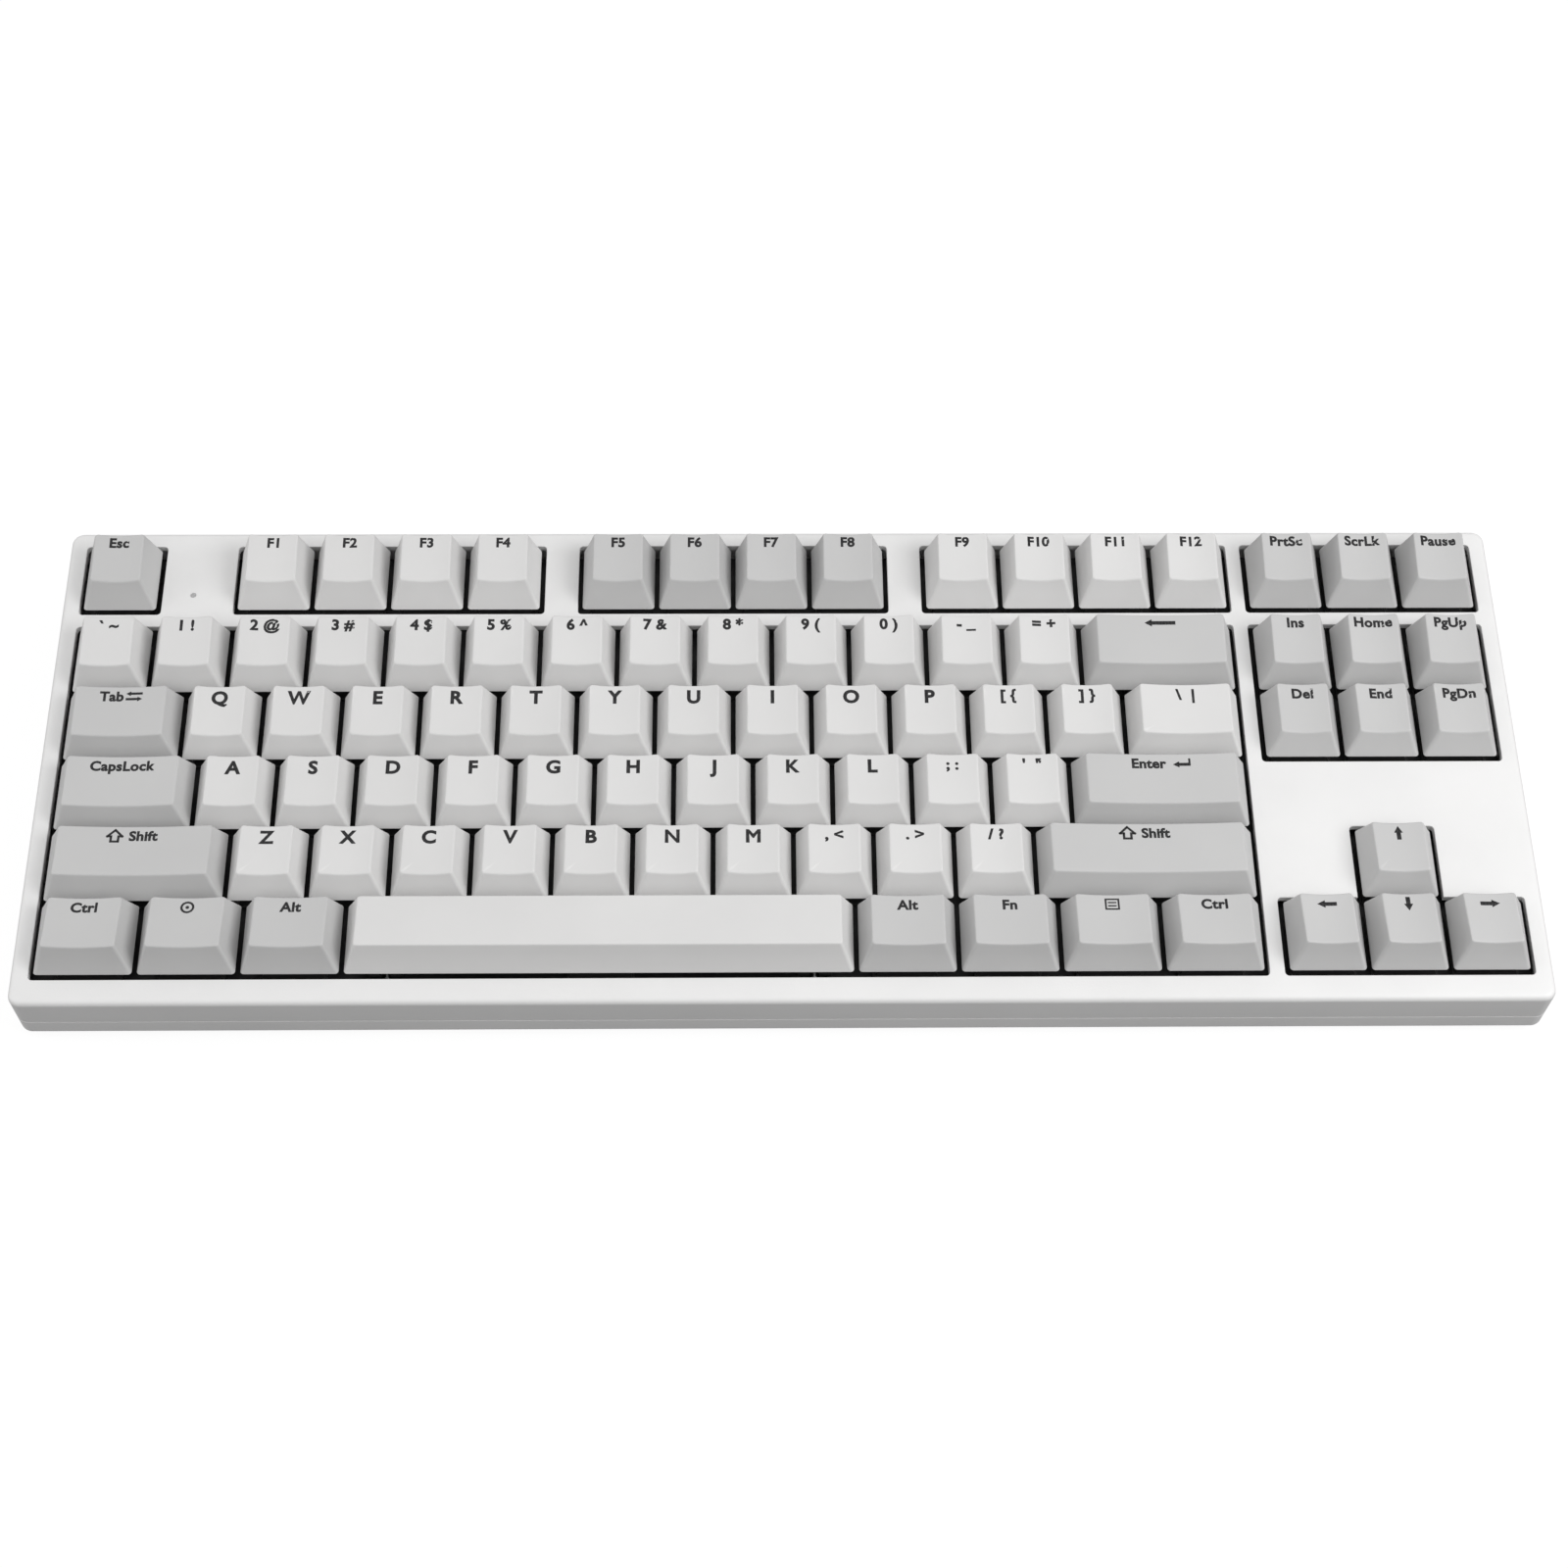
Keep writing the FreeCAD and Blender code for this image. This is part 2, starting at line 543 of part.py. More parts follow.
def make_top_case():
    body = new_body("top_case")
    sketch = new_sketch(body, "top_outline")
    attach(sketch, body)
    outline(sketch)
    shell = pad(body, sketch, "dims.seam_drop", "top_block", upward=False)
    doc.recompute()
    round_edges(body, shell, lambda point: abs(point.z) < NEAR, "dims.rim_radius", "rim")

    sketch = new_sketch(body, "top_hollow_plan")
    attach(sketch, body, z="-dims.deck")
    outline(sketch, "dims.wall")
    pocket(body, sketch, "dims.seam_drop", "top_hollow")

    for name, cells in (("key_openings", CLUSTERS), ("up_key_opening", (UP_KEY_CELL,))):
        sketch = new_sketch(body, name + "_plan")
        attach(sketch, body)
        for left, right, near, far in cells:
            rectangle(sketch, unit_x(left) + " - dims.opening_clearance",
                      unit_x(right) + " + dims.opening_clearance",
                      unit_y(near) + " - dims.opening_clearance",
                      unit_y(far) + " + dims.opening_clearance")
        pocket(body, sketch, "dims.deck * 1.5", name)

    sketch = new_sketch(body, "boss_plan")
    attach(sketch, body, z="-dims.deck / 2")
    for x, y in SCREWS:
        circle(sketch, unit_x(x), unit_y(y), "dims.screw_boss")
    pad(body, sketch, "dims.plate_drop - dims.deck / 2", "bosses", upward=False)

    sketch = new_sketch(body, "pilot_plan")
    attach(sketch, body, z="-dims.plate_drop")
    for x, y in SCREWS:
        circle(sketch, unit_x(x), unit_y(y), "dims.screw_pilot")
    pocket(body, sketch, "dims.plate_drop - dims.deck", "pilot_holes", upward=True)

    sketch = new_sketch(body, "lamp_plan")
    attach(sketch, body)
    circle(sketch, unit_x("dims.lamp_place"), unit_y("dims.lamp_back"),
           "dims.lamp_radius + dims.lamp_play")
    pocket(body, sketch, "dims.deck * 1.5", "lamp_hole")
    return register(body, "top_case")


def level_below_deck(height, y):
    """Z in the working frame of a horizontal plane of the row frame, at a given Y."""
    return "(%s - dims.lift) / cos(dims.typing_angle) - (%s) * tan(dims.typing_angle)" % (height, y)


def make_bottom_case():
    body = new_body("bottom_case")
    sketch = new_sketch(body, "bottom_outline")
    attach(sketch, body, z="-dims.seam_drop")
    outline(sketch)
    pad(body, sketch, "dims.case_depth / 4", "bottom_block", upward=False)

    near = "dims.wall - dims.front_rim"
    far = "dims.case_depth - dims.front_rim - dims.wall"
    inside = "dims.foot_stand + dims.floor"
    sketch = new_sketch(body, "cavity_side")
    attach(sketch, body, "YZ_Plane")
    polygon(sketch, ((near, "0"), (near, level_below_deck(inside, near)),
                     (far, level_below_deck(inside, far)), (far, "0")))
    cavity = pocket(body, sketch, "dims.case_width - 2 * dims.wall", "cavity")
    cavity.Midplane = True

    sketch = new_sketch(body, "lip_plan")
    attach(sketch, body, z="-dims.seam_drop - dims.wall")
    outline(sketch, "(dims.wall + dims.lip_gap)")
    outline(sketch, "(dims.wall + dims.lip_gap + dims.lip)")
    pad(body, sketch, "dims.wall + dims.lip_rise", "lip")
    sketch = new_sketch(body, "lip_root_plan")
    attach(sketch, body, z="-dims.seam_drop - dims.wall")
    outline(sketch, "dims.wall / 2")
    outline(sketch, "(dims.wall + dims.lip_gap + dims.lip)")
    pad(body, sketch, "dims.wall - dims.floor / 2", "lip_root")

    sketch = new_sketch(body, "post_plan")
    attach(sketch, body, z="-dims.plate_drop - dims.plate_thick")
    for x, y in SCREWS:
        circle(sketch, unit_x(x), unit_y(y), "dims.screw_post")
    pad(body, sketch, "dims.case_depth / 4", "posts", upward=False)
    sketch = new_sketch(body, "post_relief_plan")
    attach(sketch, body, z="-dims.seam_drop")
    outline(sketch, "-dims.wall")
    outline(sketch, "(dims.wall + dims.lip_gap)")
    pocket(body, sketch, "dims.seam_drop", "post_relief", upward=True)

    recess_half = "(dims.flip_width / 2 + dims.flip_gap)"
    recess_front = "dims.flip_back - dims.flip_length - dims.flip_reach"
    recess_back = "dims.flip_back + dims.flip_half + dims.flip_gap"
    sketch = new_sketch(body, "flip_housing_plan")
    attach_level(sketch, body, "dims.foot_stand")
    for side in ("-dims.flip_side", "dims.flip_side"):
        rectangle(sketch, "%s - %s - dims.flip_cheek" % (side, recess_half),
                  "%s + %s + dims.flip_cheek" % (side, recess_half),
                  recess_front + " - 2 * dims.wall", recess_back + " + dims.wall")
    pad(body, sketch, "2 * dims.flip_half + 2 * dims.flip_gap + dims.floor", "flip_housings")

    sketch = new_sketch(body, "underside_plan")
    attach_level(sketch, body, "dims.foot_stand")
    rectangle(sketch, "-dims.case_width", "dims.case_width", "-dims.case_depth", "dims.case_depth")
    cut_off = pocket(body, sketch, "dims.case_depth / 2", "underside")
    doc.recompute()

    sine = math.sin(math.radians(number("dims.typing_angle")))
    cosine = math.cos(math.radians(number("dims.typing_angle")))
    bottom = (number("dims.foot_stand") - number("dims.lift")) / cosine
    round_edges(body, cut_off,
                lambda point: abs(point.z + point.y * sine / cosine - bottom) < NEAR,
                "dims.base_radius", "base_edge")

    for name, radius, top, depth in (
            ("screw_passages", "dims.screw_passage", "dims.plate_drop + dims.plate_thick",
             "dims.head_drop - dims.plate_drop"),
            ("head_wells", "dims.head_well", "dims.head_drop", "dims.case_depth / 4")):
        sketch = new_sketch(body, name + "_plan")
        attach(sketch, body, z="-(%s)" % top)
        for x, y in SCREWS:
            circle(sketch, unit_x(x), unit_y(y), radius)
        pocket(body, sketch, depth, name)

    sketch = new_sketch(body, "pad_recess_plan")
    attach_level(sketch, body, "dims.foot_stand")
    for x, y in PADS:
        rectangle(sketch, "%s - dims.pad_length / 2 - dims.pad_play" % x,
                  "%s + dims.pad_length / 2 + dims.pad_play" % x,
                  "%s - dims.pad_depth / 2 - dims.pad_play" % y,
                  "%s + dims.pad_depth / 2 + dims.pad_play" % y,
                  "dims.pad_round + dims.pad_play")
    pocket(body, sketch, "dims.pad_sink", "pad_recesses", upward=True)

    sketch = new_sketch(body, "flip_recess_plan")
    attach_level(sketch, body, "dims.foot_stand")
    for side in ("-dims.flip_side", "dims.flip_side"):
        rectangle(sketch, "%s - %s" % (side, recess_half), "%s + %s" % (side, recess_half),
                  recess_front, recess_back)
    pocket(body, sketch, "2 * dims.flip_half + 2 * dims.flip_gap", "flip_recesses", upward=True)

    for side in ("-dims.flip_side", "dims.flip_side"):
        bore = body.newObject("PartDesign::SubtractiveCylinder", "hinge_bore")
        attach(bore, body, "YZ_Plane")
        bind(bore, Radius="dims.flip_pin + dims.pin_play",
             Height="dims.flip_pin_span + 2 * dims.pin_end_play")
        height = "(dims.foot_stand + dims.flip_sink + dims.flip_half - dims.lift)"
        back = "(dims.flip_back - dims.shift)"
        place_in_body(bore, "%s - dims.flip_pin_span / 2 - dims.pin_end_play" % side,
                      "%s * cos(dims.typing_angle) + %s * sin(dims.typing_angle)" % (back, height),
                      "%s * cos(dims.typing_angle) - %s * sin(dims.typing_angle)" % (height, back))

    port = body.newObject("PartDesign::SubtractiveBox", "plug_port")
    attach(port, body)
    bind(port, Length="dims.port_width", Width="3 * dims.wall", Height="dims.port_height")
    for axis, expression in (
            ("x", unit_x("dims.usb_place") + " - dims.port_width / 2"),
            ("y", "dims.case_depth - dims.front_rim - 2 * dims.wall"),
            ("z", "-dims.board_drop - dims.board_thick - dims.usb_thick / 2 - dims.port_height / 2")):
        port.setExpression("AttachmentOffset.Base." + axis, expression)
    return register(body, "bottom_case")


def place_in_body(item, x, y, z):
    """Offset of something attached to a YZ plane: its X, Y and Z are the body's Y, Z and X."""
    for axis, expression in (("x", y), ("y", z), ("z", x)):
        item.setExpression("AttachmentOffset.Base." + axis, expression)


# Switches

def make_lower_housing():
    shell = box("lower_block", "0", "0", "-dims.board_drop", "dims.housing", "dims.housing",
                "dims.board_drop - dims.plate_drop")
    flange = box("lower_flange", "0", "0", "-dims.plate_drop", "dims.flange", "dims.flange",
                 "dims.flange_thick")
    post = cylinder("lower_post", "0", "0", "-dims.board_drop - dims.post_reach",
                    "dims.post_radius", "dims.post_reach")
    pins = [cylinder("contact_pin", str(x), str(y), "-dims.board_drop - dims.post_reach",
                     "dims.pin_radius", "dims.post_reach") for x, y in CONTACT_PINS]
    hollow = box("lower_hollow", "0", "0", "dims.housing_floor - dims.board_drop",
                 "dims.hollow", "dims.hollow", "dims.board_drop")
    bore = cylinder("lower_bore", "0", "0", "-dims.board_drop - dims.post_reach + dims.root",
                    "dims.post_bore", "dims.board_drop")
    return cut("lower_housing", fuse("lower_solid", [shell, flange, post] + pins),
               fuse("lower_spaces", [hollow, bore]))


def make_upper_housing():
    foot = "-dims.plate_drop + dims.flange_thick"
    shell = taper("upper_shell", foot, "0", "dims.upper_base / 2", "dims.upper_top / 2")
    hollow = taper("upper_hollow", foot, "-dims.bore_top", "dims.hollow / 2",
                   "(dims.wing_width / 2 + dims.slider_gap)")
    opening = box("slider_opening", "0", "0", "-dims.plate_drop",
                  "dims.slider_width + 2 * dims.slider_gap",
                  "dims.slider_depth + 2 * dims.slider_gap", "2 * dims.plate_drop")
    return cut("upper_housing", shell, fuse("upper_spaces", [hollow, opening]))


def cross(name, low, high, play="0"):
    """The plus-shaped key fitting, between two heights."""
    long_side = "dims.cross_long + 2 * %s" % play
    short_side = "dims.cross_thick + 2 * %s" % play
    tall = "%s - (%s)" % (high, low)
    return [box(name + "_across", "0", "0", low, long_side, short_side, tall),
            box(name + "_along", "0", "0", low, short_side, long_side, tall)]


def make_slider():
    trunk = box("slider_trunk", "0", "0", "-dims.slider_low", "dims.slider_width",
                "dims.slider_depth", "dims.slider_low + dims.slider_rise")
    wings = box("slider_wings", "0", "0", "-dims.slider_low", "dims.wing_width",
                "dims.wing_depth", "dims.slider_low - dims.wing_top")
    arms = cross("slider_cross", "dims.slider_rise - dims.root", "dims.cross_top")
    bore = cylinder("slider_bore", "0", "0", "-dims.slider_low - dims.overshoot",
                    "dims.spring_bore", "dims.slider_low + dims.overshoot - dims.bore_top")
    pole = cylinder("slider_pole", "0", "0", "-dims.pole_low", "dims.pole_radius",
                    "dims.pole_low - dims.bore_top + dims.root")
    return fuse("slider", [cut("slider_hollowed", fuse("slider_solid", [trunk, wings] + arms), bore),
                           pole])


def make_spring():
    path = doc.addObject("Part::Helix", "spring_path")
    bind(path, Pitch="dims.coil_pitch", Height="dims.coil_height", Radius="dims.coil_radius")
    section = doc.addObject("Part::RegularPolygon", "spring_section")
    section.Polygon = 4
    section.setExpression("Circumradius", "dims.spring_wire")
    section.Placement.Rotation = FreeCAD.Rotation(FreeCAD.Vector(1, 0, 0), 90)
    section.setExpression("Placement.Base.x", "dims.coil_radius")
    doc.recompute()
    coil = doc.addObject("Part::Sweep", "spring_coil")
    coil.Sections = [section]
    coil.Spine = (path, ["Edge%d" % (n + 1) for n in range(len(path.Shape.Edges))])
    coil.Solid = True
    coil.Frenet = True
    return coil


# Keycaps: the origin is the middle of the key's cell, at the skirt

def sculpt(row, name):
    return "dims.%s_%s" % (row, name)


def cap_sections(row, width):
    """Half width, front and back edge of the cap at the skirt, and at its top face."""
    half = "(dims.key_pitch * %s - dims.cap_gap) / 2" % width
    deep = "(dims.key_pitch - dims.cap_gap) / 2"
    top_half = "(dims.key_pitch * %s / 2 - dims.side_inset)" % width
    front = "(%s - dims.key_pitch / 2)" % sculpt(row, "near")
    back = "(dims.key_pitch / 2 - %s)" % sculpt(row, "far")
    return (half, "-" + deep, deep), (top_half, front, back)


def make_keycap(row, width, reach=None):
    body = new_body("%s_cap_%s" % (row, str(width).replace(".", "_")))
    (half, front, back), (top_half, top_front, top_back) = cap_sections(row, width)
    rise_front, rise_back = sculpt(row, "front"), sculpt(row, "back")
    slope = "atan2(%s - %s; %s - %s)" % (rise_back, rise_front, top_back, top_front)
    middle = "(%s + %s) / 2" % (top_front, top_back)
    height = "(%s + %s) / 2" % (rise_front, rise_back)

    skirt = new_sketch(body, "skirt")
    attach(skirt, body)
    rectangle(skirt, "-" + half, half, front, back, "dims.cap_radius")
    top = new_sketch(body, "top")
    attach(top, body, y=middle, z=height, angle=slope)
    depth = "(%s - %s) / cos(%s) / 2" % (top_back, top_front, slope)
    rectangle(top, "-" + top_half, top_half, "-" + depth, depth, "dims.top_radius")
    shell = body.newObject("PartDesign::AdditiveLoft", "shell")
    shell.Profile = skirt
    shell.Sections = [top]

    if reach != STABILISED["space"]:
        bend = "((%s ^ 2 + dims.dish ^ 2) / 2 / dims.dish)" % top_half
        above = "(%s - dims.dish)" % bend
        dish = body.newObject("PartDesign::SubtractiveCylinder", "dish")
        attach(dish, body, angle="%s - 90 deg" % slope,
               y="%s - %s * sin(%s) - dims.key_pitch * cos(%s)" % (middle, above, slope, slope),
               z="%s + %s * cos(%s) - dims.key_pitch * sin(%s)" % (height, above, slope, slope))
        bind(dish, Radius=bend, Height="2 * dims.key_pitch")

    hollow_low = new_sketch(body, "hollow_low")
    attach(hollow_low, body)
    rectangle(hollow_low, "dims.cap_wall - " + half, half + " - dims.cap_wall",
              front + " + dims.cap_wall", back + " - dims.cap_wall", "dims.cap_radius / 2")
    hollow_high = new_sketch(body, "hollow_high")
    attach(hollow_high, body, z="dims.ceiling")

    def inner(low, high, rise):
        return "(%s + (%s - %s) * dims.ceiling / %s)" % (low, high, low, rise)

    side = inner(half, top_half, height)
    rectangle(hollow_high, "dims.cap_wall - " + side, side + " - dims.cap_wall",
              inner(front, top_front, rise_front) + " + dims.cap_wall",
              inner(back, top_back, rise_back) + " - dims.cap_wall", "dims.cap_radius / 2")
    hollow = body.newObject("PartDesign::SubtractiveLoft", "hollow")
    hollow.Profile = hollow_low
    hollow.Sections = [hollow_high]

    places = ["0"] + (["-" + reach, reach] if reach else [])
    for x in places:
        boss = body.newObject("PartDesign::AdditiveCylinder", "boss")
        attach(boss, body, x=x, z="dims.boss_low")
        bind(boss, Radius="dims.boss_radius", Height="dims.ceiling - dims.boss_low + dims.root / 2")
    long_side = "(dims.cross_long + 2 * dims.socket_play)"
    short_side = "(dims.cross_thick + 2 * dims.socket_play)"
    for x in places:
        for length, depth in ((long_side, short_side), (short_side, long_side)):
            socket = body.newObject("PartDesign::SubtractiveBox", "socket")
            attach(socket, body, x="%s - %s / 2" % (x, length), y="-%s / 2" % depth)
            bind(socket, Length=length, Width=depth, Height="dims.cross_top + dims.socket_end")
    return body


# Stabilisers: the origin is the middle of the key's cell, moved to the stabiliser

def make_stabiliser_housing(name, inward):
    """One clip-in housing. inward is -1 or 1, the way to the key's middle along X."""
    lug_x = "%d * dims.lug_side" % inward
    trunk = box(name + "_trunk", "0", "dims.trunk_shift", "-dims.trunk_low", "dims.trunk_width",
                "dims.trunk_depth", "dims.trunk_tall")
    flange = box(name + "_flange", "0", "dims.collar_shift", "-dims.plate_drop",
                 "dims.collar_width", "dims.collar_depth", "dims.collar_thick")
    lug = box(name + "_lug", lug_x, "-dims.lug_front", "-dims.lug_low", "dims.lug_width",
              "dims.lug_depth", "dims.lug_tall")
    shaft = box(name + "_shaft", "0", "0", "-dims.lug_low - dims.overshoot", "dims.shaft_width",
                "dims.shaft_depth", "dims.lug_low + dims.overshoot")
    slot = box(name + "_slot", "0", "-dims.slot_front", "-dims.lug_low - dims.overshoot",
               "2 * dims.wire_radius + dims.slot_play", "dims.slot_depth",
               "dims.lug_low + dims.overshoot")
    bearing = lengthwise(name + "_bearing", lug_x + " - dims.lug_width", "-dims.wire_front",
                         "-dims.wire_drop", "dims.wire_radius + dims.bearing_play",
                         "2 * dims.lug_width")
    return cut(name, fuse(name + "_solid", [trunk, flange, lug]),
               fuse(name + "_spaces", [shaft, slot, bearing]))


def make_stabiliser_stem():
    head = box("stem_head", "0", "0", "-dims.head_low", "dims.stem_width", "dims.stem_depth",
               "dims.head_low + dims.slider_rise")
    web = box("stem_web", "0", "0", "-dims.web_low", "dims.stem_width", "dims.web_depth",
              "dims.web_low - dims.head_low + dims.root")
    window = box("stem_window", "0", "0", "-dims.window_low",
                 "2 * dims.wire_radius + dims.slot_play", "dims.stem_depth", "dims.window_tall")
    arms = cross("stem_cross", "dims.slider_rise - dims.root", "dims.cross_top")
    return cut("stabiliser_stem", fuse("stem_solid", [head, web] + arms), window)


def make_wire(key, x, y, reach):
    """A U-shaped wire that turns about its bar, which lies along X."""
    bar_y, bar_z = "%s - dims.wire_front" % y, "-dims.wire_drop"
    bar = lengthwise(key + "_wire_bar", "%s - %s" % (x, reach), bar_y, bar_z,
                     "dims.wire_radius", "2 * " + reach)
    pieces = [bar]
    for side in ("-", "+"):
        end = "%s %s %s" % (x, side, reach)
        elbow = doc.addObject("Part::Sphere", key + "_wire_elbow")
        elbow.setExpression("Radius", "dims.wire_radius")
        place(elbow, end, bar_y, bar_z)
        arm = doc.addObject("Part::Cylinder", key + "_wire_arm")
        arm.Placement.Rotation = FreeCAD.Rotation(FreeCAD.Vector(-1, 0, 0), 1)
        arm.setExpression("Placement.Rotation.Angle", "90 - dims.wire_rise")
        bind(arm, Radius="dims.wire_radius", Height="dims.wire_arm")
        place(arm, end, bar_y, bar_z)
        pieces += [elbow, arm]
    wire = fuse(key + "_wire", pieces)
    wire.Refine = False
    return register(wire, key + "_stabilizer_wire")


# Flat internals

def make_plate(keys):
    sheet_metal = box("plate_blank", "0",
                      "(dims.key_pitch * dims.field_deep + dims.plate_back - dims.plate_front) / 2",
                      "-dims.plate_drop - dims.plate_thick",
                      "dims.key_pitch * dims.field_wide + 2 * dims.plate_margin",
                      "dims.key_pitch * dims.field_deep + dims.plate_back + dims.plate_front",
                      "dims.plate_thick")
    low = "-dims.plate_drop - 2 * dims.plate_thick"
    tall = "3 * dims.plate_thick"
    switch_hole = box("switch_hole", "0", "0", low, "dims.plate_hole", "dims.plate_hole", tall)
    side_hole = box("stabiliser_hole", "0", "-dims.side_hole_shift", low, "dims.side_hole_width",
                    "dims.side_hole_depth", tall)
    screw_hole = cylinder("plate_screw_hole", "0", "0", low, "dims.screw_passage + dims.plate_play", tall)
    holes = [copy_to(switch_hole, x, y) for _, _, _, x, y in keys]
    for name, _, _, x, y in keys:
        if name in STABILISED:
            holes += [copy_to(side_hole, "%s %s %s" % (x, side, STABILISED[name]), y)
                      for side in ("-", "+")]
    holes += [copy_to(screw_hole, unit_x(x), unit_y(y)) for x, y in SCREWS]
    return register(cut("plate", sheet_metal, group("plate_holes", holes)), "switch_plate")


def make_board(keys):
    blank = box("board_blank", "0", "(dims.key_pitch * dims.field_deep + dims.board_inset) / 2",
                "-dims.board_drop - dims.board_thick", "dims.key_pitch * dims.field_wide",
                "dims.key_pitch * dims.field_deep - dims.board_inset", "dims.board_thick")
    low = "-dims.board_drop - 2 * dims.board_thick"
    tall = "3 * dims.board_thick"
    post_hole = cylinder("board_post_hole", "0", "0", low, "dims.post_radius + dims.post_play", tall)
    pin_hole = cylinder("board_pin_hole", "0", "0", low, "dims.pin_radius + dims.contact_play", tall)
    passage = cylinder("board_passage", "0", "0", low, "dims.screw_post + dims.passage_play", tall)
    holes = [copy_to(post_hole, x, y) for _, _, _, x, y in keys]
    for pin_x, pin_y in CONTACT_PINS:
        holes += [copy_to(pin_hole, "%s + %s" % (x, pin_x), "%s + %s" % (y, pin_y))
                  for _, _, _, x, y in keys]
    holes += [copy_to(passage, unit_x(x), unit_y(y)) for x, y in SCREWS if y > 0]
    return register(cut("board", blank, group("board_holes", holes)), "circuit_board")


# Small parts

def make_socket():
    board_end = "dims.key_pitch * dims.field_deep"
    underside = "-dims.board_drop - dims.board_thick - dims.usb_thick"
    x = unit_x("dims.usb_place")
    back = "%s + dims.usb_overhang" % board_end
    outer = box("socket_outer", x, "%s - dims.usb_length / 2" % back, underside,
                "dims.usb_width", "dims.usb_length", "dims.usb_thick")
    inner = box("socket_inner", x, "%s - dims.usb_length / 2 + dims.usb_open" % back,
                underside + " + dims.usb_skin", "dims.usb_width - 2 * dims.usb_skin",
                "dims.usb_length + dims.usb_open", "dims.usb_thick - 2 * dims.usb_skin")
    rounded = []
    for item, radius in ((outer, "dims.usb_round"), (inner, "dims.usb_round - dims.usb_skin")):
        doc.recompute()
        fillet = doc.addObject("Part::Fillet", item.Name + "_round")
        fillet.Base = item
        along = [n for n, edge in enumerate(item.Shape.Edges, 1)
                 if abs(edge.tangentAt(edge.FirstParameter).y) > 1 - NEAR]
        fillet.Edges = [(n, number(radius), number(radius)) for n in along]
        rounded.append(fillet)
    shell = cut("socket_shell", rounded[0], rounded[1])
    tongue = box("socket_tongue", x, "%s - dims.usb_length + dims.tongue_length / 2" % back,
                 underside + " + dims.usb_thick / 2 - dims.tongue_thick / 2",
                 "dims.tongue_width", "dims.tongue_length", "dims.tongue_thick")
    return register(fuse("socket", [shell, tongue]), "usb_socket")


def make_screws():
    head = cylinder("screw_head", "0", "0", "-dims.head_drop - dims.head_thick",
                    "dims.screw_head", "dims.head_thick")
    shaft = cylinder("screw_shaft", "0", "0", "-dims.head_drop", "dims.screw_shaft",
                     "dims.head_drop - dims.screw_tip")
    low = "-dims.head_drop - dims.head_thick - dims.overshoot"
    slots = [box("screw_slot", "0", "0", low, length, depth, "dims.slot_sink + dims.overshoot")
             for length, depth in (("dims.drive_long", "dims.drive_thick"),
                                   ("dims.drive_thick", "dims.drive_long"))]
    screw = cut("screw", fuse("screw_solid", [head, shaft]), fuse("screw_cross", slots))
    copies = [copy_to(screw, unit_x(x), unit_y(y)) for x, y in SCREWS]
    return register(group("screws", copies), "case_screws")


def make_rubber_feet():
    body = new_body("rubber_foot")
    sketch = new_sketch(body, "pad_plan")
    attach(sketch, body)
    rectangle(sketch, "-dims.pad_length / 2", "dims.pad_length / 2",
              "-dims.pad_depth / 2", "dims.pad_depth / 2", "dims.pad_round")
    block = pad(body, sketch, "dims.foot_stand + dims.pad_sink", "pad_block")
    doc.recompute()
    round_edges(body, block, lambda point: abs(point.z) < NEAR, "dims.pad_edge", "pad_edge")
    copies = [copy_to(body, str(x), str(y)) for x, y in PADS]
    return register(group("feet", copies), "rubber_feet", seated=False)


def make_lens():
    lens = cylinder("lens", unit_x("dims.lamp_place"), unit_y("dims.lamp_back"), "-dims.deck - dims.lamp_low",
                    "dims.lamp_radius", "dims.deck + dims.lamp_low - dims.lamp_sink")
    return register(group("lenses", [lens]), "indicator_lens")


def make_chip():
    chip = box("chip", "%s + dims.chip_side_step" % unit_x("dims.usb_place"),
               unit_y("dims.chip_back"),
               "-dims.board_drop - dims.board_thick - dims.chip_thick",
               "dims.chip_side", "dims.chip_side", "dims.chip_thick")
    doc.recompute()
    bevel = doc.addObject("Part::Chamfer", "chip_bevel")
    bevel.Base = chip
    upright = [n for n, edge in enumerate(chip.Shape.Edges, 1)
               if abs(edge.tangentAt(edge.FirstParameter).z) > 1 - NEAR]
    size = number("dims.chip_bevel")
    bevel.Edges = [(n, size, size) for n in upright]
    return register(group("chips", [bevel]), "controller_chip")


def make_flip_foot(node, side):
    """Made about its hinge: the origin is on the hinge axis, the foot lies forwards."""
    body = new_body(node)
    sketch = new_sketch(body, "flip_side_view")
    attach(sketch, body, "YZ_Plane")
    rectangle(sketch, "-dims.flip_length", "dims.flip_half", "-dims.flip_half", "dims.flip_half",
              "dims.flip_half - dims.flip_blunt")
    leg = pad(body, sketch, "dims.flip_width", "leg")
    leg.Midplane = True
    pins = body.newObject("PartDesign::AdditiveCylinder", "pins")
    attach(pins, body, "YZ_Plane", z="-dims.flip_pin_span / 2")
    bind(pins, Radius="dims.flip_pin", Height="dims.flip_pin_span")
    hollow = body.newObject("PartDesign::SubtractiveBox", "grip_hollow")
    attach(hollow, body, x="-dims.grip_wide / 2", y="-dims.grip_back", z="dims.grip_floor")
    bind(hollow, Length="dims.grip_wide", Width="dims.grip_long", Height="dims.flip_half")
    register(body, node, seated=False)
    place(body, side, "dims.flip_back", "dims.foot_stand + dims.flip_sink + dims.flip_half")
    return body


def read_keys():
    """Every key as (name, sculpt, width, x, y); x and y are its cell's middle."""
    keys = []
    for row, near, left, words in ROWS:
        for word in words.split():
            name, _, width = word.partition(":")
            width = float(width or 1)
            keys.append((name, row, width, unit_x(left + width / 2), unit_y(near + 0.5)))
            left += width
    return keys


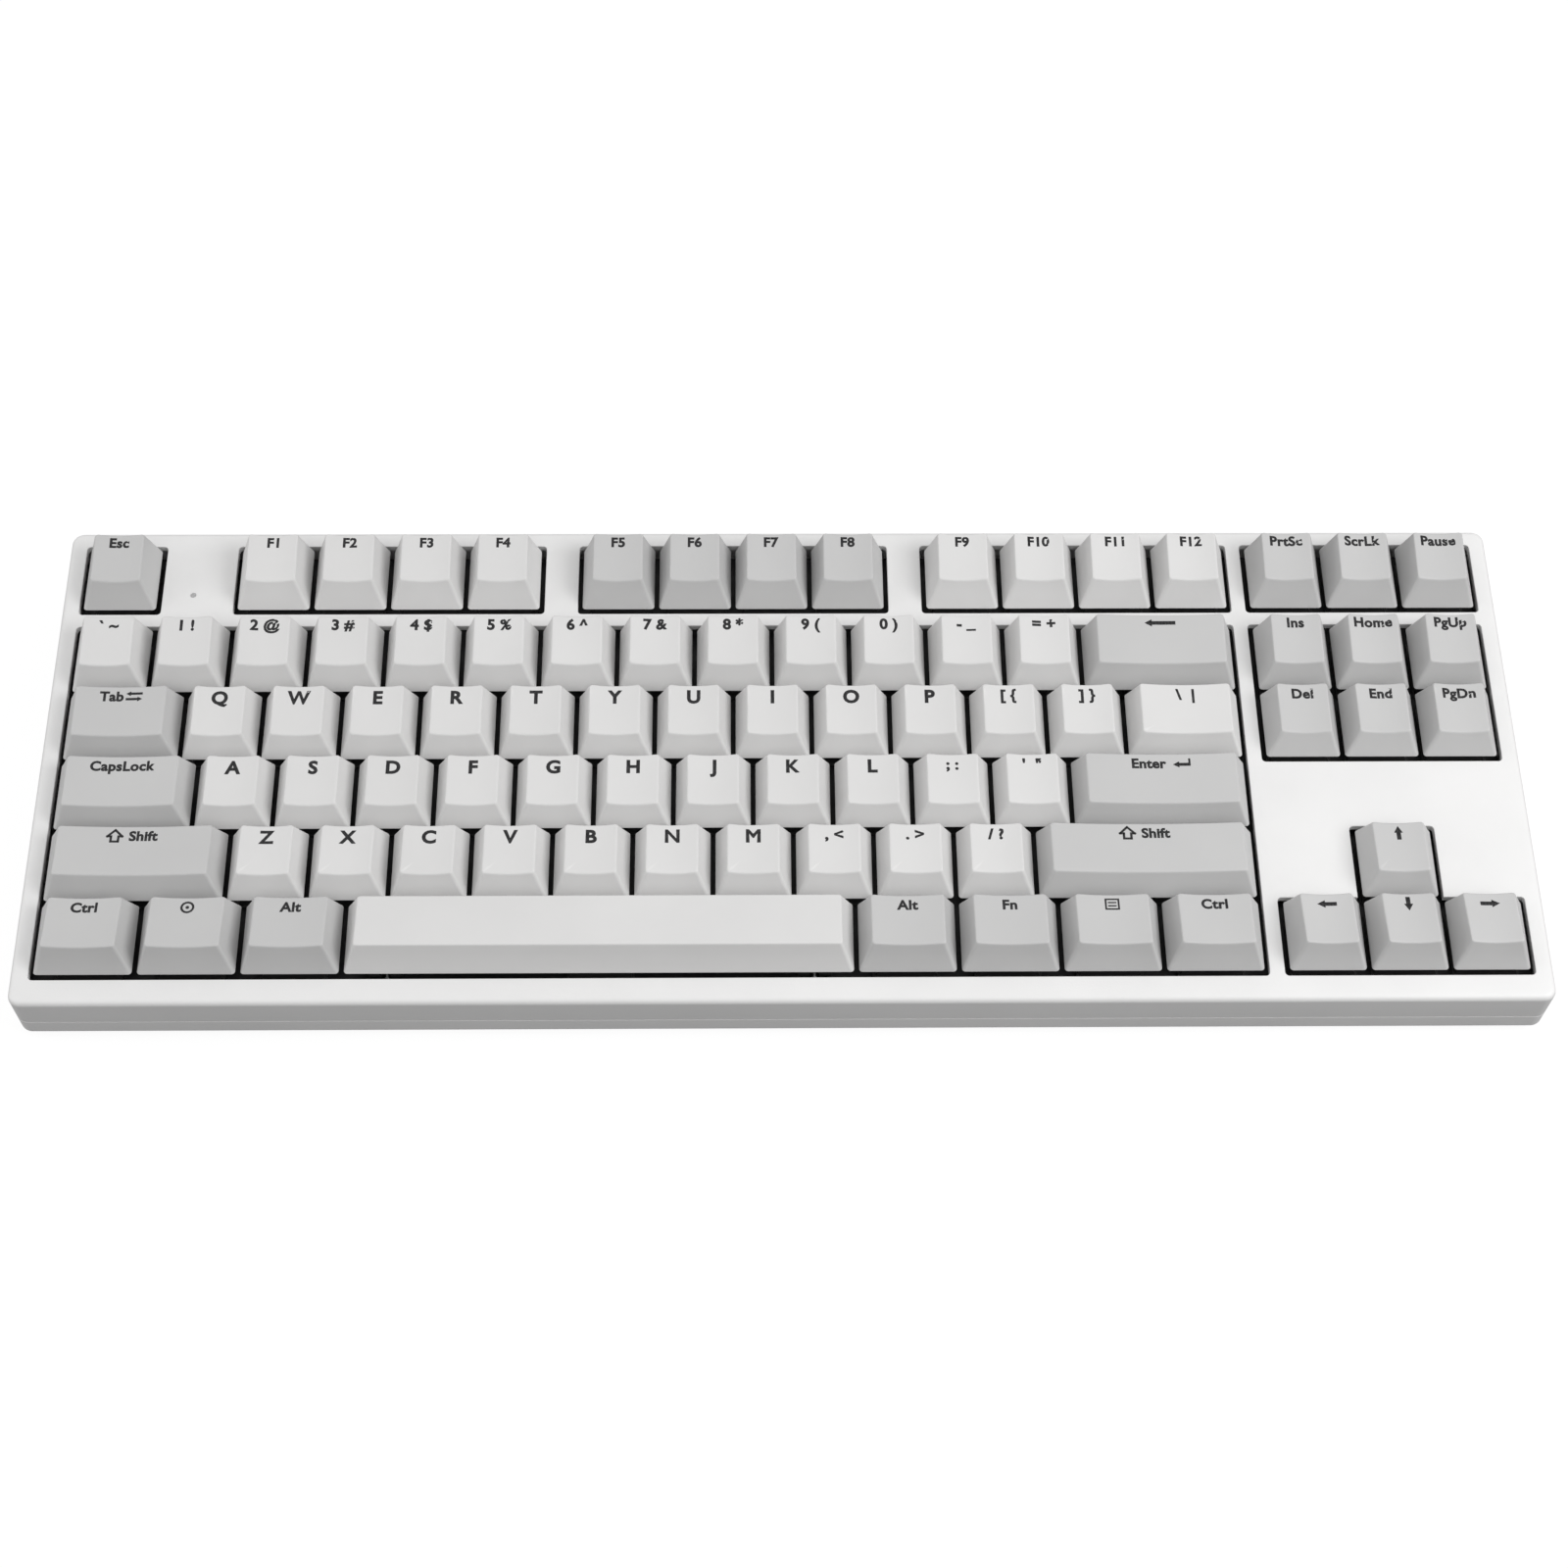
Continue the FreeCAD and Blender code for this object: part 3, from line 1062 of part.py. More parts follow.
def make_keys(keys):
    """Keycap, slider and stabiliser stems of every key, one node for each key or bank."""
    slider, side_stem = make_slider(), make_stabiliser_stem()
    bank_of = {key: bank for bank, names in BANKS.items() for key in names.split()}
    caps, nodes = {}, {}
    for name, row, width, x, y in keys:
        reach = STABILISED.get(name)
        if (row, width) not in caps:
            caps[row, width] = make_keycap(row, width, reach)
        solids = nodes.setdefault(bank_of.get(name, "key_" + name), [])
        solids.append(copy_to(caps[row, width], x, y))
        solids.append(copy_to(slider, x, y))
        for side in ("-", "+") if reach else ():
            solids.append(copy_to(side_stem, "%s %s %s" % (x, side, reach), y))
    for node, solids in nodes.items():
        register(group(node + "_solids", solids), node)


def make_switch_bodies(keys):
    for node, original, drop in (
            ("switch_lower_housings", make_lower_housing(), "0"),
            ("switch_upper_housings", make_upper_housing(), "0"),
            ("switch_springs", make_spring(), "-dims.coil_low")):
        copies = [copy_to(original, x, y, drop) for _, _, _, x, y in keys]
        register(group(node + "_all", copies), node)


def make_stabilisers(keys):
    left = make_stabiliser_housing("stabiliser_left", 1)
    right = make_stabiliser_housing("stabiliser_right", -1)
    copies = []
    for name, _, _, x, y in keys:
        if name in STABILISED:
            reach = STABILISED[name]
            copies.append(copy_to(left, "%s - %s" % (x, reach), y))
            copies.append(copy_to(right, "%s + %s" % (x, reach), y))
            make_wire(name, x, y, reach)
    register(group("stabiliser_housings", copies), "stabilizer_housings")


def main():
    fill_sheet(DIMENSIONS)
    fill_sheet(seat_numbers(), len(DIMENSIONS) + 1)
    keys = read_keys()
    make_top_case()
    make_bottom_case()
    make_plate(keys)
    make_board(keys)
    make_switch_bodies(keys)
    make_stabilisers(keys)
    make_keys(keys)
    make_socket()
    make_screws()
    make_rubber_feet()
    make_lens()
    make_chip()
    make_flip_foot("flip_foot_left", "-dims.flip_side")
    make_flip_foot("flip_foot_right", "dims.flip_side")
    doc.recompute()
    failed = [item.Label for item in doc.Objects if {"Invalid", "Error"} & set(item.State)]
    if failed:
        raise RuntimeError("failed objects: " + ", ".join(failed))
    os.makedirs("parts", exist_ok=True)
    for node, item in parts.items():
        if item.Shape.isNull() or not item.Shape.isValid():
            raise RuntimeError("bad shape: " + node)
    for node, item in parts.items():
        item.Shape.exportStep("parts/%s.step" % node)
        print("%-26s solids %3d  volume %10.1f" % (node, len(item.Shape.Solids), item.Shape.Volume))
    whole = Part.makeCompound([item.Shape for item in parts.values()]).BoundBox
    print("nodes", len(parts), "box", [round(value, 2) for value in (
        whole.XMin, whole.XMax, whole.YMin, whole.YMax, whole.ZMin, whole.ZMax)])


main()
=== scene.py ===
import json
import math
import random

import bpy
from mathutils import Matrix, Vector
from mathutils.geometry import delaunay_2d_cdt, interpolate_bezier


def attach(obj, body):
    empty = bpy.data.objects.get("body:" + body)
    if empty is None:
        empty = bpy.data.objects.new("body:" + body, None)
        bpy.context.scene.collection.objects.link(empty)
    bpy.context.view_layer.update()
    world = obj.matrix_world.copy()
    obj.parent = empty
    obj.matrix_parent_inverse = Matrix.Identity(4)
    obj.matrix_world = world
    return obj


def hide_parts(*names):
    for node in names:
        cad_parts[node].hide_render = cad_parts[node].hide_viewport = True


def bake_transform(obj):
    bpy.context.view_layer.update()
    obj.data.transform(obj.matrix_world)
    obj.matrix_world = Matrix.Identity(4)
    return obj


# Looks of a tenkeyless mechanical keyboard. Shapes are made in the keyboard's own frame, in
# millimetres: X to the right from the middle of the key field, Y to the back from its front
# edge, Z up from the deck. ROW turns that frame into the row frame, in metres.

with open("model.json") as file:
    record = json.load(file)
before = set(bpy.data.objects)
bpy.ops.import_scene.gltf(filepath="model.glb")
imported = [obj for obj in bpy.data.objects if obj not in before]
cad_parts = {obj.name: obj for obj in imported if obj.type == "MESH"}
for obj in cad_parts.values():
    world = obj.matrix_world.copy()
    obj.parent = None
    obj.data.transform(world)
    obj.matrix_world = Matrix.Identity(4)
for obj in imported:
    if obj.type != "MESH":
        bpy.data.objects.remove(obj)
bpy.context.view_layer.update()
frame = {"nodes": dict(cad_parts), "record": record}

TYPING_ANGLE = math.radians(6.5)
# height and place along Y of the keyboard's own frame in the row frame, in millimetres
LIFT, SHIFT = 18.17014561660887, -59.998342664412206
MM = 0.001
TILT = Matrix.Rotation(TYPING_ANGLE, 4, "X")
ROW = Matrix.Scale(MM, 4) @ Matrix.Translation((0.0, SHIFT, LIFT)) @ TILT

PITCH = 19.05       # from key to key
FIELD_WIDE = 18.25  # width of all the keys, in key pitches

# sculpt, front edge and left edge in key pitches, then the keys with their widths
ROWS = (
    ("function", 5.25, 0.0, "escape"),
    ("function", 5.25, 2.0, "f1 f2 f3 f4"),
    ("function", 5.25, 6.5, "f5 f6 f7 f8"),
    ("function", 5.25, 11.0, "f9 f10 f11 f12"),
    ("function", 5.25, 15.25, "print_screen scroll_lock pause"),
    ("number", 4.0, 0.0, "grave one two three four five six seven eight nine zero minus equals "
                         "backspace:2"),
    ("number", 4.0, 15.25, "insert home page_up"),
    ("upper", 3.0, 0.0, "tab:1.5 q w e r t y u i o p left_bracket right_bracket backslash:1.5"),
    ("upper", 3.0, 15.25, "delete end page_down"),
    ("home", 2.0, 0.0, "caps_lock:1.75 a s d f g h j k l semicolon quote enter:2.25"),
    ("lower", 1.0, 0.0, "left_shift:2.25 z x c v b n m comma period slash right_shift:2.75"),
    ("lower", 1.0, 16.25, "up"),
    ("bottom", 0.0, 0.0, "left_ctrl:1.25 super:1.25 left_alt:1.25 space:6.25"),
    ("bottom", 0.0, 10.0, "right_alt:1.25 fn:1.25 menu:1.25 right_ctrl:1.25"),
    ("bottom", 0.0, 15.25, "left down right"),
)
# keys that share one node
BANKS = {
    "number_row_keys": "grave one two three four five six seven eight nine zero minus equals",
    "function_row_keys": "escape f1 f2 f3 f4 f5 f6 f7 f8 f9 f10 f11 f12 print_screen scroll_lock "
                         "pause",
    "punctuation_keys": "left_bracket right_bracket backslash semicolon quote comma period slash",
    "modifier_keys": "tab caps_lock left_ctrl super left_alt right_alt fn menu right_ctrl",
    "navigation_keys": "insert home page_up delete end page_down",
}
GREY_KEYS = set((
    "escape f5 f6 f7 f8 print_screen scroll_lock pause backspace tab caps_lock enter left_shift "
    "right_shift left_ctrl super left_alt right_alt fn menu right_ctrl insert home page_up delete "
    "end page_down up left down right").split())
# height of a cap's top face at its front and back edge, and how far those edges are
# inside the key cell
SCULPT = {
    "function": (8.0, 9.2, 4.4, 1.7),
    "number": (8.0, 9.0, 3.9, 1.9),
    "upper": (7.0, 7.3, 3.8, 1.8),
    "home": (6.9, 6.6, 3.7, 1.8),
    "lower": (7.2, 6.2, 4.2, 1.5),
    "bottom": (8.2, 6.4, 4.1, 1.4),
}
CAP_GAP = 1.2       # between the skirts of two caps
SKIRT_RADIUS, TOP_RADIUS = 0.8, 0.8
SIDE_INSET = 3.45   # from the key cell's side to the side edge of the top face
CAP_WALL = 1.5
CEILING = 4.4       # height of the hollow below a cap
CEILING_ROUND = 0.4
DISH = 0.8          # how deep the top face is hollowed
SKIRT_EDGE = 0.15   # height of the small chamfer round the skirt
SKIRT_TAPER = (0.995, 0.99)  # size of the ring below that chamfer, across and along
REACH = 4.5         # how far from its side edges a top face starts to be level
EDGE = 0.45         # how far the rounding of a cap's top edge reaches
CORNER_STEPS = 6
RUNS_ACROSS, RUNS_ALONG = 6, 4  # runs of a cap's long edges per key width, and of its side edges
# where the rings lie on the wall, on the rounded edge and from there to the middle of the top
WALL_SHARES = (0.3, 0.6, 0.82)
EDGE_SHARES = (0.0, 0.2, 0.4, 0.6, 0.8, 1.0)
TOP_SHARES = (0.9, 0.7, 0.5, 0.3, 0.12)
CAP_SHARP, CAD_SHARP = math.radians(40.0), math.radians(35.0)  # least angle of a sharp edge
SNAP = 1e6          # CAD points are one point when they agree to a millionth of a metre

STEM_WIDEST = 9.5   # wider solids of a key node are its caps
STEM_BEVEL = 0.08

# what each key shows: text and the height of its capitals, or a drawn sign
LETTER_HEIGHT, PAIR_HEIGHT, WORD_HEIGHT = 3.7, 3.0, 2.75
SPACING, WORD_SPACING = 1.04, 1.06
# at a text size of 1: how much bolder the outlines are made, and how high a capital is
WEIGHT, FONT_CAPITAL = 0.042, 0.68
# points on a bent run of an outline, the least distance of two points, how much longer than the
# direct way a bent run is, and the least divisor for a sharp corner's mitre
GLYPH_STEPS, GLYPH_NEAR, GLYPH_BENT, LEAST_MITRE = 5, 0.004, 1.001, 0.5
PAIRS = {
    "grave": "` ~", "one": "1 !", "two": "2 @", "three": "3 #", "four": "4 $", "five": "5 %",
    "six": "6 ^", "seven": "7 &", "eight": "8 *", "nine": "9 (", "zero": "0 )",
    "minus": "- _", "equals": "= +", "left_bracket": "[ {", "right_bracket": "] }",
    "backslash": "\\  |", "semicolon": "; :", "quote": "'  \"", "comma": ", <",
    "period": ". >", "slash": "/ ?",
}
WORDS = {
    "escape": "Esc", "print_screen": "PrtSc", "scroll_lock": "ScrLk", "pause": "Pause",
    "insert": "Ins", "home": "Home", "page_up": "PgUp", "delete": "Del", "end": "End",
    "page_down": "PgDn", "caps_lock": "CapsLock", "left_ctrl": "Ctrl", "right_ctrl": "Ctrl",
    "left_alt": "Alt", "right_alt": "Alt", "fn": "Fn",
}
WORDS.update(("f%d" % n, "F%d" % n) for n in range(1, 13))

# what delaunay_2d_cdt gives: triangles up to the convex hull, or inside the edges
HULL, INSIDE = 0, 1
NEAR = 1e-5

rng = random.Random(87)


# Meshes

class Shell:
    """Points and faces of one piece, in the keyboard's frame."""

    def __init__(self):
        self.points, self.faces, self.tones = [], [], []

    def add(self, points, tone=0.5):
        first = len(self.points)
        self.points.extend(points)
        self.tones.extend([tone] * len(points))
        return list(range(first, len(self.points)))

    def bridge(self, low, high):
        """Quads between two rings of as many points, running the same way round."""
        count = len(low)
        for n in range(count):
            after = (n + 1) % count
            self.faces.append((low[n], low[after], high[after], high[n]))

    def stack(self, rings, tone=0.5):
        """Bridged rings of points. Gives the point numbers of the first and the last ring."""
        made = [self.add(ring, tone) for ring in rings]
        for low, high in zip(made, made[1:]):
            self.bridge(low, high)
        return made[0], made[-1]

    def fill(self, outer, holes, down=False):
        """Flat triangles inside a ring of points and outside the holes."""
        loops = [outer, *holes]
        flat, edges, members = [], [], []
        for loop in loops:
            first = len(flat)
            flat += [Vector(self.points[n][:2]) for n in loop]
            members += loop
            edges += [(first + n, first + (n + 1) % len(loop)) for n in range(len(loop))]
        made = delaunay_2d_cdt(flat, edges, [], INSIDE, NEAR, True)
        hollows = [[self.points[n][:2] for n in hole] for hole in holes]
        for face in made[2]:
            x, y = sum((made[0][n] for n in face), Vector((0.0, 0.0))) / len(face)
            if any(winding(x, y, hollow) for hollow in hollows):
                continue
            corners = [members[made[3][n][0]] for n in face]
            self.faces.append(tuple(reversed(corners)) if down else tuple(corners))

    def build(self, name, body, slot, material, node=None, crisp=True):
        mesh = bpy.data.meshes.new(name)
        mesh.from_pydata([ROW @ Vector(point) for point in self.points], [], self.faces)
        tone = mesh.attributes.new("tone", "FLOAT", "POINT")
        tone.data.foreach_set("value", self.tones)
        mesh.validate()
        mesh.materials.append(material)
        item = bpy.data.objects.new(name, mesh)
        bpy.context.scene.collection.objects.link(item)
        mesh.shade_smooth()
        if crisp:
            mesh.set_sharp_from_angle(angle=CAP_SHARP)
            weighted = item.modifiers.new("normals", "WEIGHTED_NORMAL")
            weighted.keep_sharp = True
        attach(item, body)
        if node:
            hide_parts(node)
        return item


def winding(x, y, loop):
    """How often a closed loop of plan points runs round a plan point."""
    turns = 0
    for (x0, y0), (x1, y1) in zip(loop, loop[1:] + loop[:1]):
        if (y0 > y) != (y1 > y) and x0 + (x1 - x0) * (y - y0) / (y1 - y0) > x:
            turns += 1 if y1 > y0 else -1
    return turns


def round_rectangle(half_x, front, back, radius, steps=CORNER_STEPS, across=1, along=1):
    """Points round a rectangle with round corners, anticlockwise from its front right corner.
    across and along are the numbers of runs of its long and its side edges."""
    middle, half_y = (front + back) / 2, (back - front) / 2
    corners = ((half_x - radius, radius - half_y, -90), (half_x - radius, half_y - radius, 0),
               (radius - half_x, half_y - radius, 90), (radius - half_x, radius - half_y, 180))
    arcs = []
    for x, y, start in corners:
        turns = [math.radians(start + 90 * n / steps) for n in range(steps + 1)]
        arcs.append([(x + radius * math.cos(t), middle + y + radius * math.sin(t)) for t in turns])
    points = []
    for n, arc in enumerate(arcs):
        points += arc
        runs = along if n % 2 == 0 else across
        start, end = arc[-1], arcs[(n + 1) % 4][0]
        points += [(start[0] + (end[0] - start[0]) * k / runs,
                    start[1] + (end[1] - start[1]) * k / runs) for k in range(1, runs)]
    return points


def level(points, z):
    return [(x, y, z) for x, y in points]


def circle(x, y, radius, count=24):
    return [(x + radius * math.cos(2 * math.pi * n / count),
             y + radius * math.sin(2 * math.pi * n / count)) for n in range(count)]


def mix(a, b, share):
    return a + (b - a) * share


# Keycaps

class CapShape:
    """Outline and top face of a cap about the middle of its key cell."""

    def __init__(self, row, width, dished=True):
        self.rise_front, self.rise_back, near, far = SCULPT[row]
        self.half = (PITCH * width - CAP_GAP) / 2
        self.deep = (PITCH - CAP_GAP) / 2
        self.top_half = PITCH * width / 2 - SIDE_INSET
        self.front, self.back = near - PITCH / 2, PITCH / 2 - far
        self.middle = (self.front + self.back) / 2
        self.slope = math.atan2(self.rise_back - self.rise_front, self.back - self.front)
        self.bend = (self.top_half ** 2 + DISH ** 2) / 2 / DISH if dished else None
        self.across = max(3, round(RUNS_ACROSS * width))

    def height(self, x, y):
        """Height of the top face."""
        z = (self.rise_front + self.rise_back) / 2 + (y - self.middle) * math.tan(self.slope)
        if self.bend:
            x = max(-self.top_half, min(self.top_half, x))
            z += (self.bend - DISH - math.sqrt(self.bend ** 2 - x ** 2)) / math.cos(self.slope)
        return z

    def outline(self, share):
        """The outline at the skirt for 0 and at the top for 1, as plan points."""
        return round_rectangle(mix(self.half, self.top_half, share),
                               mix(-self.deep, self.front, share),
                               mix(self.deep, self.back, share),
                               mix(SKIRT_RADIUS, TOP_RADIUS, share),
                               across=self.across, along=RUNS_ALONG)

    def rings(self):
        """Rings from the skirt over the rounded edge to the inner part of the top face."""
        skirt, edge = self.outline(0.0), self.outline(1.0)
        top = [(x, y, self.height(x, y)) for x, y in edge]
        made = [[(x * SKIRT_TAPER[0], y * SKIRT_TAPER[1], 0.0) for x, y in skirt],
                [(x, y, SKIRT_EDGE) for x, y in skirt]]
        for share in WALL_SHARES:
            made.append([tuple(mix(a, b, share) for a, b in zip((sx, sy, 0.0), t))
                         for (sx, sy), t in zip(skirt, top)])
        ends = []
        for (sx, sy), (x, y, z) in zip(skirt, top):
            down = Vector((sx - x, sy - y, -z)).normalized() * EDGE
            level_half = self.top_half - REACH
            reach = Vector((max(-level_half, min(level_half, x)) - x,
                            self.middle - y)).normalized() * EDGE
            inner = Vector((x + reach.x, y + reach.y, self.height(x + reach.x, y + reach.y)))
            ends.append((Vector((x, y, z)) + down, Vector((x, y, z)), inner))
        for share in EDGE_SHARES:
            made.append([tuple(mix(mix(a, b, share), mix(b, c, share), share)) for a, b, c in ends])
        border = made[-1]
        for share in TOP_SHARES:
            made.append([(x * share, mix(self.middle, y, share),
                          self.height(x * share, mix(self.middle, y, share)))
                         for x, y, _ in border])
        return made

    def hollow(self):
        """Rings of the inside, from the ceiling down to the skirt."""
        made = []
        for z in (CEILING, CEILING - CEILING_ROUND, 0.0):
            share = z / (self.rise_front + self.rise_back) * 2
            wall = CAP_WALL + (CEILING_ROUND if z == CEILING else 0.0)
            made.append(level(round_rectangle(
                mix(self.half, self.top_half, share) - wall,
                mix(-self.deep, self.front, share) + wall,
                mix(self.deep, self.back, share) - wall,
                SKIRT_RADIUS / 2, across=self.across, along=RUNS_ALONG), z))
        return made


def add_cap(shell, shape, x, y, tone):
    """A hollow cap with its key cell's middle at a plan point."""
    def moved(rings):
        return [[(px + x, py + y, pz) for px, py, pz in ring] for ring in rings]

    inside = shell.stack(moved(shape.hollow()), tone)
    outside = shell.stack(moved(shape.rings()), tone)
    shell.bridge(inside[1], outside[0])
    shell.faces.append(tuple(outside[1]))
    shell.faces.append(tuple(reversed(inside[0])))


# Legends

def arrow(length, height, turn=0.0):
    """An arrow pointing left, as convex polygons, turned about its middle."""
    half, head, bar = length / 2, height * 0.9, height / 4
    shapes = [[(-half, 0.0), (-half + head, -height / 2), (-half + head, height / 2)],
              [(-half + head * 0.8, -bar), (half, -bar), (half, bar), (-half + head * 0.8, bar)]]
    cos, sin = math.cos(turn), math.sin(turn)
    return [[(x * cos - y * sin, x * sin + y * cos) for x, y in shape] for shape in shapes]


def stroke(points, wide, closed=False):
    """Bars along a line of points."""
    shapes = []
    for (x0, y0), (x1, y1) in zip(points, points[1:] + (points[:1] if closed else [])):
        reach = math.hypot(x1 - x0, y1 - y0)
        ux, uy = (x1 - x0) / reach * wide / 2, (y1 - y0) / reach * wide / 2
        shapes.append([(x0 - ux + uy, y0 - uy - ux), (x1 + ux + uy, y1 + uy - ux),
                       (x1 + ux - uy, y1 + uy + ux), (x0 - ux - uy, y0 - uy + ux)])
    return shapes


def moved_shapes(shapes, dx, dy):
    return [[(x + dx, y + dy) for x, y in shape] for shape in shapes]


def glyph_loops(text, spacing):
    """Closed outlines of a line of text at a size of 1, without repeated points."""
    curve = bpy.data.curves.new("glyphs", "FONT")
    curve.body = text
    curve.space_character = spacing
    item = bpy.data.objects.new("glyphs", curve)
    loops = []
    for spline in item.to_curve(bpy.context.evaluated_depsgraph_get()).splines:
        knots, loop = list(spline.bezier_points), []
        for here, after in zip(knots, knots[1:] + knots[:1]):
            run = [here.co, here.handle_right, after.handle_left, after.co]
            direct = (run[3] - run[0]).length
            bent = sum((b - a).length for a, b in zip(run, run[1:])) > direct * GLYPH_BENT
            loop += interpolate_bezier(*run, GLYPH_STEPS if bent else 2)[:-1]
        kept = [p for p, q in zip(loop, loop[1:] + loop[:1]) if (q - p).length > GLYPH_NEAR]
        loops.append([Vector((p.x, p.y)) for p in kept])
    item.to_curve_clear()
    bpy.data.objects.remove(item)
    bpy.data.curves.remove(curve)
    return loops


def thicken(loop, grow):
    """A glyph's outline moved away from its ink, which lies on the left of the way round."""
    made = []
    for before, here, after in zip(loop[-1:] + loop[:-1], loop, loop[1:] + loop[:1]):
        way_in, way_out = (here - before).normalized(), (after - here).normalized()
        side_in, side_out = Vector((way_in.y, -way_in.x)), Vector((way_out.y, -way_out.x))
        made.append(here + (side_in + side_out) * grow
                    / max(1.0 + side_in.dot(side_out), LEAST_MITRE))
    return made


def text_shapes(text, height, spacing=SPACING):
    """Text as triangles, centred on x, with its baseline at 0. height is that of a capital."""
    scale = height / (FONT_CAPITAL + 2 * WEIGHT)
    loops = [[point * scale for point in thicken(loop, WEIGHT)]
             for loop in glyph_loops(text, spacing)]
    points, edges = [], []
    for loop in loops:
        first, count = len(points), len(loop)
        points += loop
        edges += [(first + n, first + (n + 1) % count) for n in range(count)]
    middle = (min(x for x, _ in points) + max(x for x, _ in points)) / 2
    made = delaunay_2d_cdt(points, edges, [], HULL, NEAR, False)
    shapes = []
    for face in made[2]:
        x, y = sum((made[0][n] for n in face), Vector((0.0, 0.0))) / len(face)
        if sum(winding(x, y, loop) for loop in loops):
            shapes.append([(made[0][n].x - middle, made[0][n].y + WEIGHT * scale)
                           for n in face])
    return shapes


def shift_sign(height):
    """A hollow arrow pointing up."""
    wide = height * 0.55
    return stroke([(0.0, height), (wide, height * 0.45), (wide / 2, height * 0.45), (wide / 2, 0.0),
                   (-wide / 2, 0.0), (-wide / 2, height * 0.45), (-wide, height * 0.45)],
                  height * 0.18, closed=True)


def key_shapes(name):
    """The polygons of a key's sign, with the top of its capitals at y = 0."""
    if len(name) == 1:
        return moved_shapes(text_shapes(name.upper(), LETTER_HEIGHT), 0.0, -LETTER_HEIGHT)
    if name in PAIRS:
        return moved_shapes(text_shapes(PAIRS[name], PAIR_HEIGHT), 0.0, -PAIR_HEIGHT)
    if name in WORDS:
        return moved_shapes(text_shapes(WORDS[name], WORD_HEIGHT, WORD_SPACING), 0.0, -WORD_HEIGHT)
    middle = -WORD_HEIGHT / 2
    if name == "tab":
        shapes = moved_shapes(text_shapes("Tab", WORD_HEIGHT), -2.2, -WORD_HEIGHT)
        shapes += moved_shapes(arrow(4.0, 1.3), 3.2, middle + 0.75)
        shapes += moved_shapes(arrow(4.0, 1.3, math.pi), 3.2, middle - 0.75)
    elif name in ("left_shift", "right_shift"):
        shapes = moved_shapes(text_shapes("Shift", WORD_HEIGHT), 2.1, -WORD_HEIGHT)
        shapes += moved_shapes(shift_sign(WORD_HEIGHT * 1.15), -4.6, -WORD_HEIGHT * 1.05)
    elif name == "enter":
        shapes = moved_shapes(text_shapes("Enter", WORD_HEIGHT), -2.9, -WORD_HEIGHT)
        shapes += moved_shapes(arrow(4.2, 1.7), 4.9, middle - 0.3)
        shapes += moved_shapes(stroke([(1.9, 0.0), (1.9, 1.4)], 0.5), 4.9, middle - 0.3)
    elif name == "backspace":
        shapes = moved_shapes(arrow(7.6, 2.0), 0.0, middle)
    elif name == "super":
        shapes = stroke(circle(0.0, middle, 1.35, 16), 0.5, closed=True)
        shapes.append(circle(0.0, middle, 0.45, 8))
    elif name == "menu":
        shapes = stroke([(-1.5, -2.7), (1.5, -2.7), (1.5, 0.0), (-1.5, 0.0)], 0.42, closed=True)
        for y in (-0.9, -1.8):
            shapes += stroke([(-0.8, y), (0.8, y)], 0.38)
    else:
        turn = {"left": 0.0, "down": math.pi / 2, "right": math.pi, "up": -math.pi / 2}[name]
        long = 4.6 if name in ("left", "right") else 3.8
        shapes = moved_shapes(arrow(long, 2.1, turn), 0.0, -1.5)
    return shapes


def cut_in_strips(shapes, step):
    """Convex or concave polygons split at lines of equal x, so that they can follow a curve."""
    made = []
    for shape in shapes:
        low, high = min(x for x, _ in shape), max(x for x, _ in shape)
        lines = [n * step for n in range(math.ceil(low / step), math.floor(high / step) + 1)]
        rest = shape
        for line in lines:
            part = clip(rest, line, keep_left=True)
            rest = clip(rest, line, keep_left=False)
            if len(part) > 2:
                made.append(part)
        if len(rest) > 2:
            made.append(rest)
    return made


def clip(shape, line, keep_left):
    """The part of a convex polygon on one side of a line of equal x."""
    kept = []
    for (x0, y0), (x1, y1) in zip(shape, shape[1:] + shape[:1]):
        inside = x0 <= line if keep_left else x0 >= line
        if inside:
            kept.append((x0, y0))
        if (x0 - line) * (x1 - line) < 0:
            kept.append((line, y0 + (y1 - y0) * (line - x0) / (x1 - x0)))
    return kept


# how far a sign reaches out of the top face and into it
LEGEND_PROUD, LEGEND_DEEP = 0.015, 0.12
# width of the strips in which a sign follows the hollow top, and twice the least area kept
LEGEND_STRIP, LEGEND_LEAST = 0.8, 2e-3
# how far the legends start from the back edge of the top face
LEGEND_INSET = {"function": 0.8, "number": 0.8}
USUAL_INSET = 1.3


def add_legend(shell, shape, name, x, y, inset):
    """A key's sign, as prisms that reach a little out of its top face."""
    shapes = moved_shapes(key_shapes(name), 0.0, shape.back - inset)
    if shape.bend:
        shapes = cut_in_strips(shapes, LEGEND_STRIP)
    for polygon in shapes:
        area = sum(x0 * y1 - x1 * y0
                   for (x0, y0), (x1, y1) in zip(polygon, polygon[1:] + polygon[:1]))
        if abs(area) < LEGEND_LEAST:
            continue
        if area < 0:
            polygon = polygon[::-1]
        low, high = (shell.add([(px + x, py + y, shape.height(px, py) + lift)
                                for px, py in polygon]) for lift in (-LEGEND_DEEP, LEGEND_PROUD))
        shell.bridge(low, high)
        shell.faces.append(tuple(high))
        shell.faces.append(tuple(reversed(low)))


# Materials

PLASTIC_IOR = 1.47
NOISE_ROUGHNESS = 0.55
# scale of the noise in: the tint of plastic, its shine, the scratches and the shine of metal, the
# tint and the shine of paint
CLOUDS, PATCHES, SCRATCHES, SMEARS, SPECKS, DULLED = 38.0, 95.0, 900.0, 260.0, 420.0, 150.0


